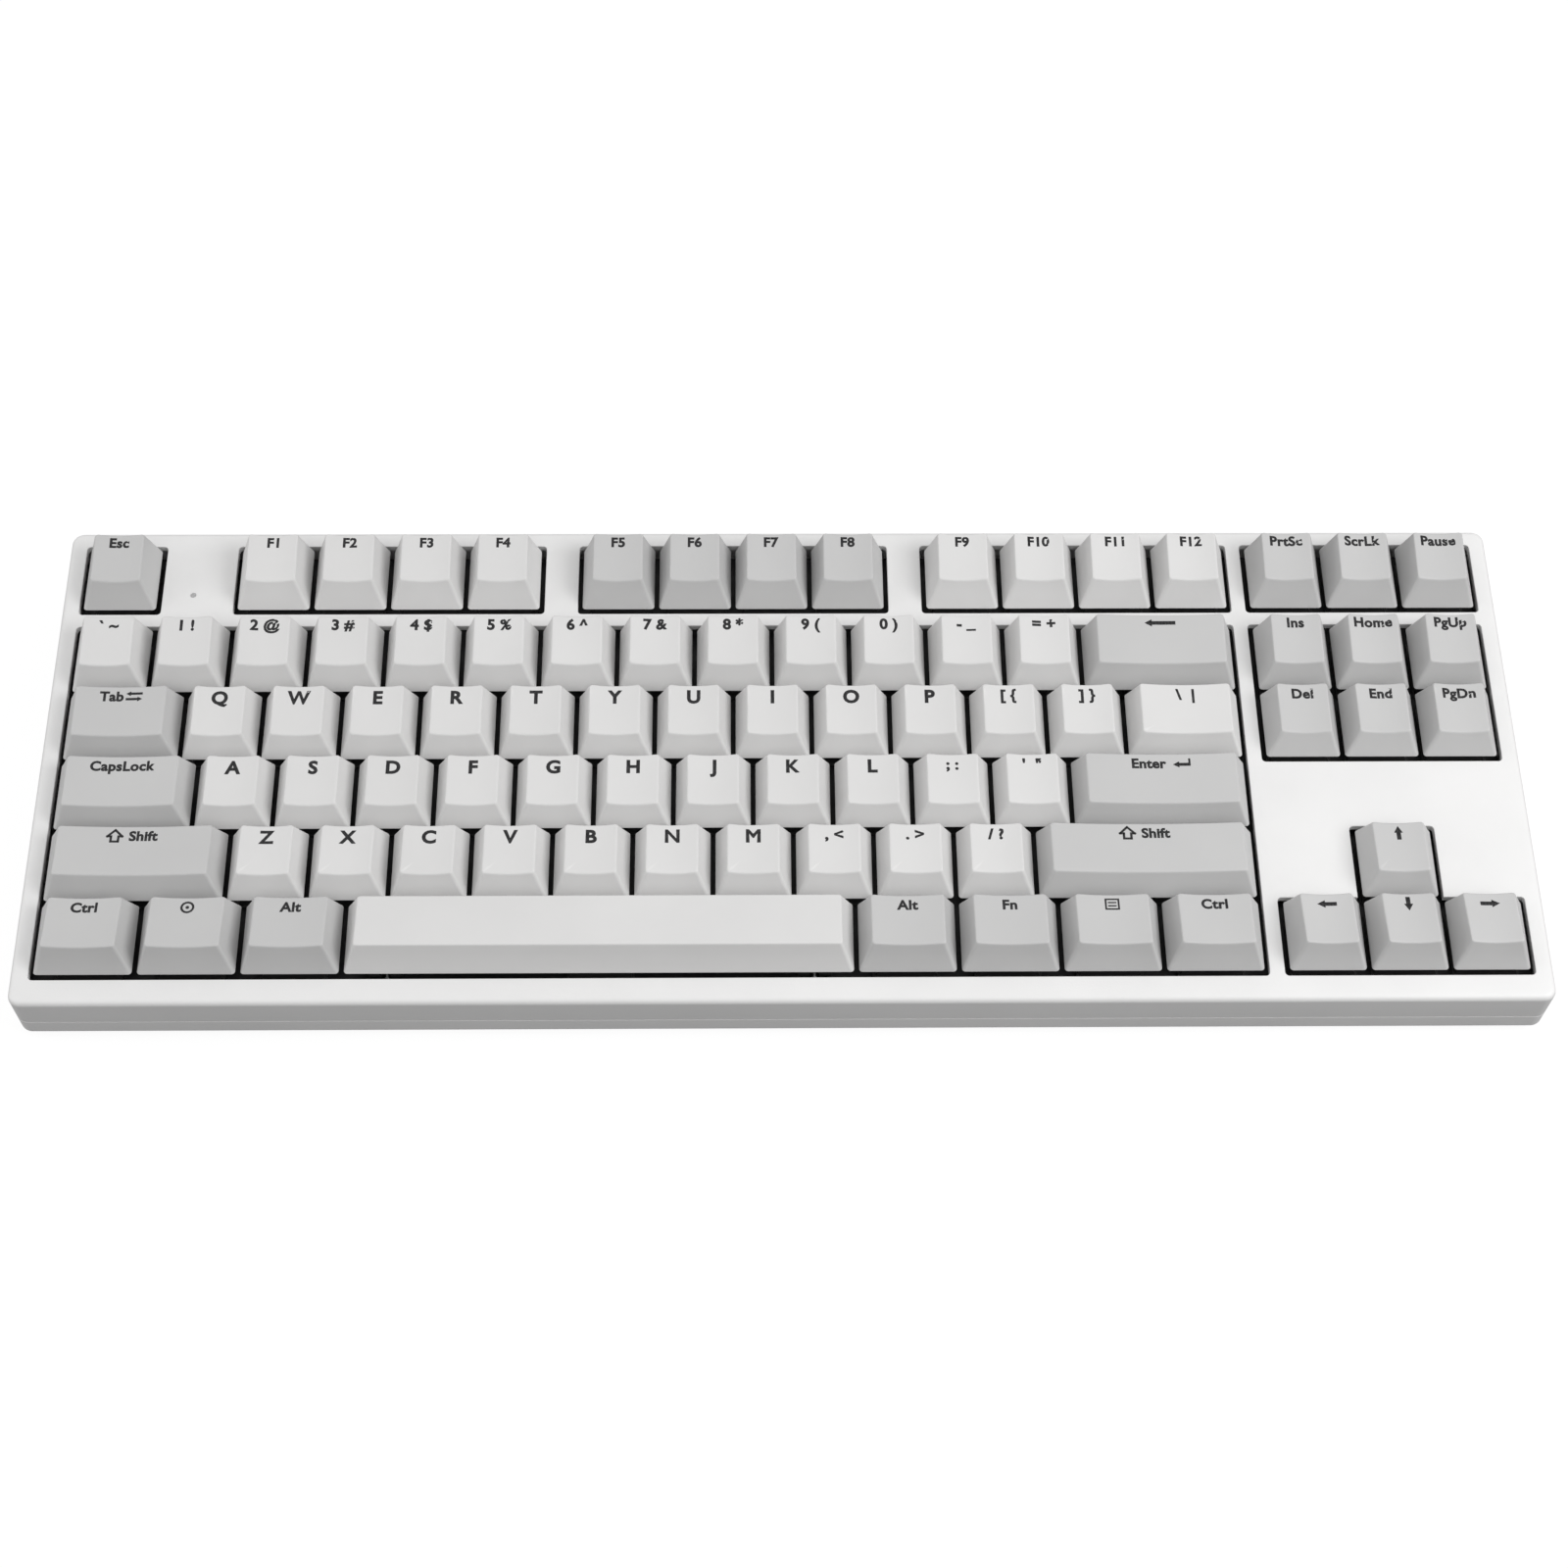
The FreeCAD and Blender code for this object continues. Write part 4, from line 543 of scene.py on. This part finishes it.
class Nodes:
    """A material's node tree, built by short calls."""

    def __init__(self, name):
        self.material = bpy.data.materials.new(name)
        self.material.use_nodes = True
        self.tree = self.material.node_tree
        self.shader = self.tree.nodes["Principled BSDF"]

    def node(self, kind, **values):
        made = self.tree.nodes.new(kind)
        for name, value in values.items():
            if name in made.inputs.keys():
                made.inputs[name].default_value = value
            else:
                setattr(made, name, value)
        return made

    def link(self, source, target):
        self.tree.links.new(source, target)

    def noise(self, scale, detail=3.0):
        place = self.node("ShaderNodeTexCoord")
        made = self.node("ShaderNodeTexNoise", Scale=scale, Detail=detail,
                         Roughness=NOISE_ROUGHNESS)
        self.link(place.outputs["Object"], made.inputs["Vector"])
        return made.outputs["Fac"]

    def ramp(self, source, low, high, start=0.3, end=0.7):
        made = self.node("ShaderNodeMapRange")
        made.inputs["From Min"].default_value = start
        made.inputs["From Max"].default_value = end
        made.inputs["To Min"].default_value = low
        made.inputs["To Max"].default_value = high
        self.link(source, made.inputs["Value"])
        return made.outputs["Result"]

    def blend(self, share, low, high):
        """A colour between two; each of them is a colour or an output."""
        made = self.node("ShaderNodeMix", data_type="RGBA")
        self.link(share, made.inputs["Factor"])
        # the colour sockets come after those for numbers and vectors, under the same names
        for value, target in ((low, made.inputs[6]), (high, made.inputs[7])):
            if isinstance(value, tuple):
                target.default_value = value
            else:
                self.link(value, target)
        return made.outputs[2]

    def bump(self, source, strength, distance):
        made = self.node("ShaderNodeBump", Strength=strength, Distance=distance)
        self.link(source, made.inputs["Height"])
        return made

    def painted_edge_highlight(self, colour, lighter):
        """Painted highlight: edges a little lighter, from how sharply the surface bends."""
        shape = self.node("ShaderNodeNewGeometry")
        edge = self.ramp(shape.outputs["Pointiness"], 0.0, 1.0, 0.52, 0.62)
        return self.blend(edge, colour, lighter)


def grey(value, warm=0.0):
    return (value * (1.0 + warm), value, value * (1.0 - warm), 1.0)


def plastic(name, base, warm, rough, grain=2600.0, depth=0.00003, toned=False, lighter=1.06):
    """Moulded plastic: fine spark-eroded grain, cloudy tint and shine, and a painted highlight that
    lightens its edges.
    """
    made = Nodes(name)
    cloud = made.noise(CLOUDS, 4.0)
    colour = made.blend(made.ramp(cloud, 0.0, 1.0), grey(base * 0.975, warm),
                        grey(base * 1.02, warm))
    if toned:
        tone = made.node("ShaderNodeAttribute", attribute_name="tone")
        colour = made.blend(made.ramp(tone.outputs["Fac"], 0.0, 0.3, 0.0, 1.0), colour,
                            grey(base * 0.93, warm * 1.3))
    # painted highlight: sharply bent edges lighter
    colour = made.painted_edge_highlight(colour, grey(min(1.0, base * lighter), warm))
    made.link(colour, made.shader.inputs["Base Color"])
    patches = made.noise(PATCHES)
    made.link(made.ramp(patches, rough - 0.06, rough + 0.07), made.shader.inputs["Roughness"])
    fine = made.bump(made.noise(grain, 2.0), 0.35, depth)
    made.link(fine.outputs["Normal"], made.shader.inputs["Normal"])
    made.shader.inputs["IOR"].default_value = PLASTIC_IOR
    return made.material


def metal(name, base, rough):
    """Plated or brushed metal with fine scratches."""
    made = Nodes(name)
    made.shader.inputs["Metallic"].default_value = 1.0
    scratches = made.noise(SCRATCHES, 5.0)
    made.link(made.blend(made.ramp(scratches, 0.0, 1.0), grey(base * 0.85), grey(base)),
              made.shader.inputs["Base Color"])
    made.link(made.ramp(made.noise(SMEARS), rough - 0.08, rough + 0.12),
              made.shader.inputs["Roughness"])
    made.link(made.bump(scratches, 0.2, 0.00001).outputs["Normal"],
              made.shader.inputs["Normal"])
    return made.material


def painted(name, colour, rough, grain=1800.0):
    """Paint, ink or rubber of one colour with a fine texture."""
    made = Nodes(name)
    light = tuple(min(1.0, channel * 1.25 + 0.004) for channel in colour[:3]) + (1.0,)
    made.link(made.blend(made.ramp(made.noise(SPECKS, 5.0), 0.0, 1.0), colour, light),
              made.shader.inputs["Base Color"])
    made.link(made.ramp(made.noise(DULLED), rough - 0.08, rough + 0.08),
              made.shader.inputs["Roughness"])
    made.link(made.bump(made.noise(grain, 3.0), 0.4, 0.00003).outputs["Normal"],
              made.shader.inputs["Normal"])
    return made.material


def board_material():
    """Green solder mask over faint copper tracks."""
    made = Nodes("board_mask")
    place = made.node("ShaderNodeTexCoord")
    tracks = made.node("ShaderNodeTexWave", Scale=110.0, Distortion=6.0)
    made.link(place.outputs["Object"], tracks.inputs["Vector"])
    made.link(made.blend(made.ramp(tracks.outputs["Fac"], 0.0, 1.0, 0.55, 0.75),
                         (0.004, 0.045, 0.018, 1.0), (0.01, 0.09, 0.035, 1.0)),
              made.shader.inputs["Base Color"])
    made.link(made.ramp(made.noise(200.0), 0.28, 0.42), made.shader.inputs["Roughness"])
    made.link(made.bump(tracks.outputs["Fac"], 0.3, 0.00002).outputs["Normal"],
              made.shader.inputs["Normal"])
    return made.material


def lens_material():
    """Milky light guide."""
    made = Nodes("lens_milky")
    made.link(made.blend(made.ramp(made.noise(1500.0), 0.0, 1.0), grey(0.55), grey(0.7)),
              made.shader.inputs["Base Color"])
    made.shader.inputs["Transmission Weight"].default_value = 0.35
    made.link(made.ramp(made.noise(900.0), 0.2, 0.35), made.shader.inputs["Roughness"])
    return made.material


CASE_WHITE = plastic("case_plastic", 0.78, 0.004, 0.42, grain=2200.0, depth=0.00004)
CAP_WHITE = plastic("cap_plastic_white", 0.68, 0.006, 0.50, toned=True)
CAP_GREY = plastic("cap_plastic_grey", 0.53, 0.003, 0.50, toned=True)
INK = painted("legend_ink", (0.006, 0.006, 0.007, 1.0), 0.55)
STEM = plastic("stem_plastic", 0.10, 0.0, 0.35, lighter=1.4)
MATERIALS = {
    "case_white": CASE_WHITE,
    "key_white": CAP_WHITE,
    "key_grey": CAP_GREY,
    "legend": INK,
    "stem": STEM,
    "plate_steel": painted("plate_paint", (0.012, 0.012, 0.013, 1.0), 0.5),
    "board": board_material(),
    "housing_black": plastic("housing_plastic", 0.02, 0.0, 0.42, lighter=1.8),
    "spring_steel": metal("spring_metal", 0.30, 0.30),
    "socket_metal": metal("socket_plating", 0.7, 0.3),
    "screw_steel": metal("screw_metal", 0.35, 0.35),
    "foot_rubber": painted("foot_rubber", (0.018, 0.018, 0.019, 1.0), 0.85, grain=900.0),
    "lens": lens_material(),
    "chip": painted("chip_resin", (0.015, 0.015, 0.016, 1.0), 0.6, grain=1400.0),
}


# Pieces

def read_keys():
    """Every key as (name, sculpt, width, x, y); x and y are its cell's middle."""
    keys = []
    for row, near, left, words in ROWS:
        for word in words.split():
            name, _, width = word.partition(":")
            width = float(width or 1)
            keys.append((name, row, width, (left + width / 2 - FIELD_WIDE / 2) * PITCH,
                         (near + 0.5) * PITCH))
            left += width
    return keys


def read_islands(node):
    """The separate solids of a CAD node, each as points in the row frame and faces."""
    mesh = frame["nodes"][node].data
    parent = list(range(len(mesh.vertices)))  # vertices of one solid share one root

    def place(vertex):
        return tuple(round(value * SNAP) for value in vertex.co)

    def root(n):
        while parent[n] != n:
            parent[n] = parent[parent[n]]
            n = parent[n]
        return n

    same = {}
    for vertex in mesh.vertices:
        parent[vertex.index] = same.setdefault(place(vertex), vertex.index)
    for face in mesh.polygons:
        first = root(face.vertices[0])
        for n in face.vertices[1:]:
            parent[root(n)] = first
    members = {}
    for face in mesh.polygons:
        members.setdefault(root(face.vertices[0]), []).append(face)
    islands = []
    for island in members.values():
        points, faces, number = [], [], {}
        for face in island:
            corners = []
            for n in face.vertices:
                key = same[place(mesh.vertices[n])]
                if key not in number:
                    number[key] = len(points)
                    points.append(mesh.vertices[key].co.copy())
                corners.append(number[key])
            if len(set(corners)) > 2:
                faces.append(tuple(corners))
        islands.append((points, faces))
    return islands


def add_cad_piece(name, islands, slot):
    """A piece made of some of a CAD node's solids."""
    points, faces = [], []
    for own_points, own_faces in islands:
        first = len(points)
        points += own_points
        faces += [tuple(first + n for n in face) for face in own_faces]
    mesh = bpy.data.meshes.new(name)
    mesh.from_pydata(points, [], faces)
    mesh.validate()
    mesh.shade_smooth()
    mesh.set_sharp_from_angle(angle=CAD_SHARP)
    mesh.materials.append(MATERIALS[slot])
    item = bpy.data.objects.new(name, mesh)
    bpy.context.scene.collection.objects.link(item)
    return item


def add_stems(node):
    narrow = []
    for points, faces in read_islands(node):
        across = [point.x for point in points]
        if max(across) - min(across) < STEM_WIDEST * MM:
            narrow.append((points, faces))
    item = add_cad_piece("stems_" + node, narrow, "stem")
    edge = item.modifiers.new("edges", "BEVEL")
    edge.width = STEM_BEVEL * MM
    edge.segments = 2
    edge.limit_method = "ANGLE"
    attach(item, node)


def make_springs(places):
    """The springs under the keys, one piece for those under the keys of each node."""
    back = ROW.inverted()
    groups = {}
    for points, faces in read_islands("switch_springs"):
        middle = back @ (sum(points, Vector()) / len(points))
        x, y, node = min(places, key=lambda place: math.dist(place[:2], middle[:2]))
        groups.setdefault(node, []).append((points, faces))
    for node, islands in sorted(groups.items()):
        item = add_cad_piece("springs_" + node, islands, "spring_steel")
        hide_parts("switch_springs")
        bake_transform(item)


def make_keys():
    bank_of = {key: bank for bank, names in BANKS.items() for key in names.split()}
    whites, greys, signs, places = {}, {}, {}, []
    for name, row, width, x, y in read_keys():
        node = bank_of.get(name, "key_" + name)
        places.append((x, y, node))
        shape = CapShape(row, width, dished=name != "space")
        caps = greys if name in GREY_KEYS else whites
        add_cap(caps.setdefault(node, Shell()), shape, x, y, rng.random())
        if name != "space":
            add_legend(signs.setdefault(node, Shell()), shape, name, x, y,
                       LEGEND_INSET.get(row, USUAL_INSET))
    nodes = sorted(set(whites) | set(greys))
    for node in nodes:
        if node in whites:
            whites[node].build("caps_white_" + node, node, "key_white", CAP_WHITE, node)
        if node in greys:
            greys[node].build("caps_grey_" + node, node, "key_grey", CAP_GREY, node)
        if node in signs:
            signs[node].build("legends_" + node, node, "legend", INK, crisp=False)
        add_stems(node)
    make_springs(places)


# Case

# half the case's width, its front and its back
CASE_HALF, CASE_FRONT, CASE_BACK = 178.75, -6.8, 124.1
CORNER_RADIUS, LEAST_RADIUS = 3.0, 1.2
CASE_STEPS, CASE_RUNS_ACROSS, CASE_RUNS_ALONG = 10, 48, 18
WALL, DECK, SEAM_DROP = 2.5, 1.8, 10.0
SEAM_CHAMFER, INNER_CHAMFER = 0.25, 0.3
OPENING_CLEARANCE, OPENING_RADIUS, INNER_LEAST = 0.6, 0.35, 0.12
LOOP_STEPS = 4      # runs round a corner of an opening
LIP_RADIUS = 0.2
LIP_SHARES = (0.0, 0.25, 0.5, 0.75, 1.0)
# left, right, front and back edge of each opening, in key pitches
CLUSTERS = (
    (0.0, 1.0, 5.25, 6.25),
    (2.0, 6.0, 5.25, 6.25),
    (6.5, 10.5, 5.25, 6.25),
    (11.0, 15.0, 5.25, 6.25),
    (15.25, 18.25, 5.25, 6.25),
    (0.0, 15.0, 0.0, 5.0),
    (15.25, 18.25, 3.0, 5.0),
)
# the opening of the arrow keys is a T turned upside down
ARROWS_LEFT, ARROWS_RIGHT, UP_LEFT, UP_RIGHT = 15.25, 18.25, 16.25, 17.25
# plan place in key pitches and radius of the lamp's hole, and the rounding of its edge
LAMP = (1.43, 5.52, 0.72)
LAMP_EDGE = ((0.18, 0.0), (0.05, 0.05), (0.0, 0.18), (0.0, DECK))
# plan places in key pitches
SCREWS = ((1.5, 5.95), (6.25, 5.75), (10.75, 5.45), (15.75, 2.5), (17.75, 2.5),
          (1.25, -0.152), (9.875, -0.152), (17.0, -0.152))
BOSS_RADIUS, PILOT_RADIUS, BOSS_LOW = 2.3, 1.15, 6.6
# profile of the rim: how far in from the case side, and how far below the deck
RIM = ((2.9, 0.0), (2.0, 0.04), (1.4, 0.09), (1.0, 0.16), (0.68, 0.3), (0.42, 0.5), (0.2, 0.8),
       (0.06, 1.15), (0.0, 1.5))


def field_x(units):
    return (units - FIELD_WIDE / 2) * PITCH


def case_outline(inset):
    return round_rectangle(CASE_HALF - inset, CASE_FRONT + inset, CASE_BACK - inset,
                           max(CORNER_RADIUS - inset, LEAST_RADIUS),
                           CASE_STEPS, CASE_RUNS_ACROSS, CASE_RUNS_ALONG)


def corner_loop(corners, grow, radius):
    """A loop of right-angled corners, moved outwards by grow, each rounded to a radius.
    The corners run anticlockwise."""
    count = len(corners)
    points = []
    for n, (x, y) in enumerate(corners):
        before, after = Vector(corners[n - 1]), Vector(corners[(n + 1) % count])
        here = Vector((x, y))
        way_in, way_out = (here - before).normalized(), (after - here).normalized()
        normal_in, normal_out = Vector((way_in.y, -way_in.x)), Vector((way_out.y, -way_out.x))
        convex = way_in.x * way_out.y - way_in.y * way_out.x > 0
        moved = here + (normal_in + normal_out) * grow
        bend = radius + grow if convex else max(radius - grow, INNER_LEAST)
        start, end = moved - way_in * bend, moved + way_out * bend
        centre = start + (end - moved)
        for k in range(LOOP_STEPS + 1):
            turn = k / LOOP_STEPS * math.pi / 2
            points.append(tuple(centre + (start - centre) * math.cos(turn)
                                + (end - centre) * math.sin(turn)))
    return points


def make_top_case():
    """The upper shell: deck, side walls, openings, lamp hole and screw bosses."""
    shell = Shell()
    rim = [level(case_outline(inset), -drop) for inset, drop in RIM]
    side = rim + [level(case_outline(0.0), -SEAM_DROP + INNER_CHAMFER),
                  level(case_outline(SEAM_CHAMFER), -SEAM_DROP)]
    inner = [level(case_outline(WALL), -SEAM_DROP),
             level(case_outline(WALL), -DECK - INNER_CHAMFER),
             level(case_outline(WALL + INNER_CHAMFER), -DECK)]
    top, under = shell.stack([ring[::-1] for ring in side + inner])
    top_holes, under_holes = [], []
    loops = [[(field_x(x0), y0 * PITCH), (field_x(x1), y0 * PITCH),
              (field_x(x1), y1 * PITCH), (field_x(x0), y1 * PITCH)] for x0, x1, y0, y1 in CLUSTERS]
    loops.append([(field_x(x), y * PITCH) for x, y in (
        (ARROWS_LEFT, 0.0), (ARROWS_RIGHT, 0.0), (ARROWS_RIGHT, 1.0), (UP_RIGHT, 1.0),
        (UP_RIGHT, 2.0), (UP_LEFT, 2.0), (UP_LEFT, 1.0), (ARROWS_LEFT, 1.0))])
    for loop in loops:
        rings = []
        for share in LIP_SHARES:
            turn = share * math.pi / 2
            grow = OPENING_CLEARANCE + LIP_RADIUS * (1 - math.sin(turn))
            rings.append(level(corner_loop(loop, grow, OPENING_RADIUS),
                               LIP_RADIUS * (math.cos(turn) - 1)))
        rings.append(level(corner_loop(loop, OPENING_CLEARANCE, OPENING_RADIUS), -DECK))
        first, last = shell.stack(rings)
        top_holes.append(first)
        under_holes.append(last)
    lamp_x, lamp_y = field_x(LAMP[0]), LAMP[1] * PITCH
    first, last = shell.stack([level(circle(lamp_x, lamp_y, LAMP[2] + grow), -drop)
                               for grow, drop in LAMP_EDGE])
    top_holes.append(first)
    under_holes.append(last)
    shell.fill(top[::-1], top_holes)
    for x, y in SCREWS:
        px, py = field_x(x), y * PITCH
        boss = [level(circle(px, py, radius), z) for radius, z in (
            (BOSS_RADIUS, -DECK / 2), (BOSS_RADIUS, -BOSS_LOW),
            (PILOT_RADIUS, -BOSS_LOW), (PILOT_RADIUS, -DECK))]
        first, last = shell.stack([ring[::-1] for ring in boss])
        shell.faces.append(tuple(reversed(first)))
        shell.faces.append(tuple(last))
    shell.fill(under[::-1], under_holes, down=True)
    shell.build("top_shell", "case", "case_white", CASE_WHITE, "top_case")


def finish_cad():
    """A finish for the CAD nodes that stay."""
    slots = {part["node"]: part["material_slot"] for part in frame["record"]["subparts"]}
    for node, item in frame["nodes"].items():
        material = MATERIALS[slots[node]]
        if item.data.materials:
            for n in range(len(item.data.materials)):
                item.data.materials[n] = material
        else:
            item.data.materials.append(material)


# Studio

# half the floor's side in metres, its reflectance, its own light to the camera and to the rest
FLOOR_HALF, FLOOR, FLOOR_GLOW, FLOOR_DIM_GLOW = 6.0, 0.10, 0.91, 0.07


def make_stage():
    mesh = bpy.data.meshes.new("floor")
    mesh.from_pydata([(-FLOOR_HALF, -FLOOR_HALF, 0.0), (FLOOR_HALF, -FLOOR_HALF, 0.0),
                      (FLOOR_HALF, FLOOR_HALF, 0.0), (-FLOOR_HALF, FLOOR_HALF, 0.0)],
                     [], [(0, 1, 2, 3)])
    floor = bpy.data.objects.new("floor", mesh)
    bpy.context.scene.collection.objects.link(floor)
    made = Nodes("floor_paper")
    made.link(made.blend(made.ramp(made.noise(3.0), 0.0, 1.0), grey(FLOOR * 0.98), grey(FLOOR)),
              made.shader.inputs["Base Color"])
    made.shader.inputs["Roughness"].default_value = 0.9
    # lit from behind like a light table, brightest as the camera sees it
    seen = made.node("ShaderNodeLightPath")
    made.shader.inputs["Emission Color"].default_value = (1.0, 1.0, 1.0, 1.0)
    made.link(made.ramp(seen.outputs["Is Camera Ray"], FLOOR_DIM_GLOW, FLOOR_GLOW, 0.0, 1.0),
              made.shader.inputs["Emission Strength"])
    # clear from below
    choice = made.node("ShaderNodeMixShader")
    made.link(made.node("ShaderNodeNewGeometry").outputs["Backfacing"], choice.inputs[0])
    made.link(made.shader.outputs["BSDF"], choice.inputs[1])
    made.link(made.node("ShaderNodeBsdfTransparent").outputs["BSDF"], choice.inputs[2])
    made.link(choice.outputs["Shader"], made.tree.nodes["Material Output"].inputs["Surface"])
    mesh.materials.append(made.material)


# how high the dome starts to brighten and is fully bright, and its strength there
DOME_START, DOME_END, DOME_LOW, DOME_HIGH = 0.05, 0.50, 0.13, 0.755
# place, size and power of the soft lights at the right and low at the left
SIDE_LIGHTS = {"right": ((0.66, -0.30, 0.70), 0.5, 4.8), "left": ((-0.85, -0.10, 0.24), 0.5, 1.8)}


def area_light(name, place, size, power):
    """A square light aimed at the middle of the floor."""
    data = bpy.data.lights.new(name, "AREA")
    data.shape = "SQUARE"
    data.size = size
    data.energy = power
    item = bpy.data.objects.new(name, data)
    bpy.context.scene.collection.objects.link(item)
    item.location = place
    item.rotation_euler = (-Vector(place)).to_track_quat("-Z", "Y").to_euler()


def make_lights():
    """A white dome that is bright overhead and dim near the horizon, and a soft light on either
    side."""
    scene = bpy.context.scene
    world = bpy.data.worlds.new("studio")
    world.use_nodes = True
    scene.world = world
    tree = world.node_tree
    towards = tree.nodes.new("ShaderNodeTexCoord")
    split = tree.nodes.new("ShaderNodeSeparateXYZ")
    ramp = tree.nodes.new("ShaderNodeMapRange")
    ramp.interpolation_type = "SMOOTHSTEP"
    for name, value in (("From Min", DOME_START), ("From Max", DOME_END), ("To Min", DOME_LOW),
                        ("To Max", DOME_HIGH)):
        ramp.inputs[name].default_value = value
    tree.links.new(towards.outputs["Generated"], split.inputs["Vector"])
    tree.links.new(split.outputs["Z"], ramp.inputs["Value"])
    # white where the camera sees it
    brighter = tree.nodes.new("ShaderNodeMath")
    brighter.operation = "MAXIMUM"
    tree.links.new(ramp.outputs["Result"], brighter.inputs[0])
    seen = tree.nodes.new("ShaderNodeLightPath")
    tree.links.new(seen.outputs["Is Camera Ray"], brighter.inputs[1])
    tree.links.new(brighter.outputs["Value"], tree.nodes["Background"].inputs["Strength"])
    tree.nodes["Background"].inputs["Color"].default_value = (1.0, 1.0, 1.0, 1.0)
    for side, (place, size, power) in SIDE_LIGHTS.items():
        area_light(side + "_light", place, size, power)
    scene.view_settings.view_transform = "Standard"


# place, tilt, turn and roll of the camera in the keyboard's frame, as fitted to the photo
CAMERA_PLACE = (-8.517, -270.176, 570.426)
CAMERA_PITCH, CAMERA_YAW, CAMERA_ROLL = (math.radians(a) for a in (60.637, 1.574, 1.213))
CAMERA_LENS, CAMERA_SENSOR = 62.53, 36.0


def turn_flat(angle):
    """A turn about the third axis."""
    cos, sin = math.cos(angle), math.sin(angle)
    return Matrix(((cos, -sin, 0.0), (sin, cos, 0.0), (0.0, 0.0, 1.0)))


def make_camera():
    cos, sin = math.cos(CAMERA_PITCH), math.sin(CAMERA_PITCH)
    # the rows of look point right, down and forward in the picture
    look = turn_flat(CAMERA_ROLL) @ Matrix(((1.0, 0.0, 0.0), (0.0, -sin, -cos), (0.0, cos, -sin)))
    look = look @ turn_flat(CAMERA_YAW)
    axes = Matrix((look[0], -look[1], -look[2])).transposed()
    data = bpy.data.cameras.new("camera")
    data.lens, data.sensor_width = CAMERA_LENS, CAMERA_SENSOR
    data.clip_start, data.clip_end = 0.01, 50.0
    item = bpy.data.objects.new("camera", data)
    bpy.context.scene.collection.objects.link(item)
    turned = TILT.to_3x3() @ axes
    item.matrix_world = Matrix.Translation(ROW @ Vector(CAMERA_PLACE)) @ turned.to_4x4()
    bpy.context.scene.camera = item


finish_cad()
make_keys()
make_top_case()
make_stage()
make_lights()
make_camera()
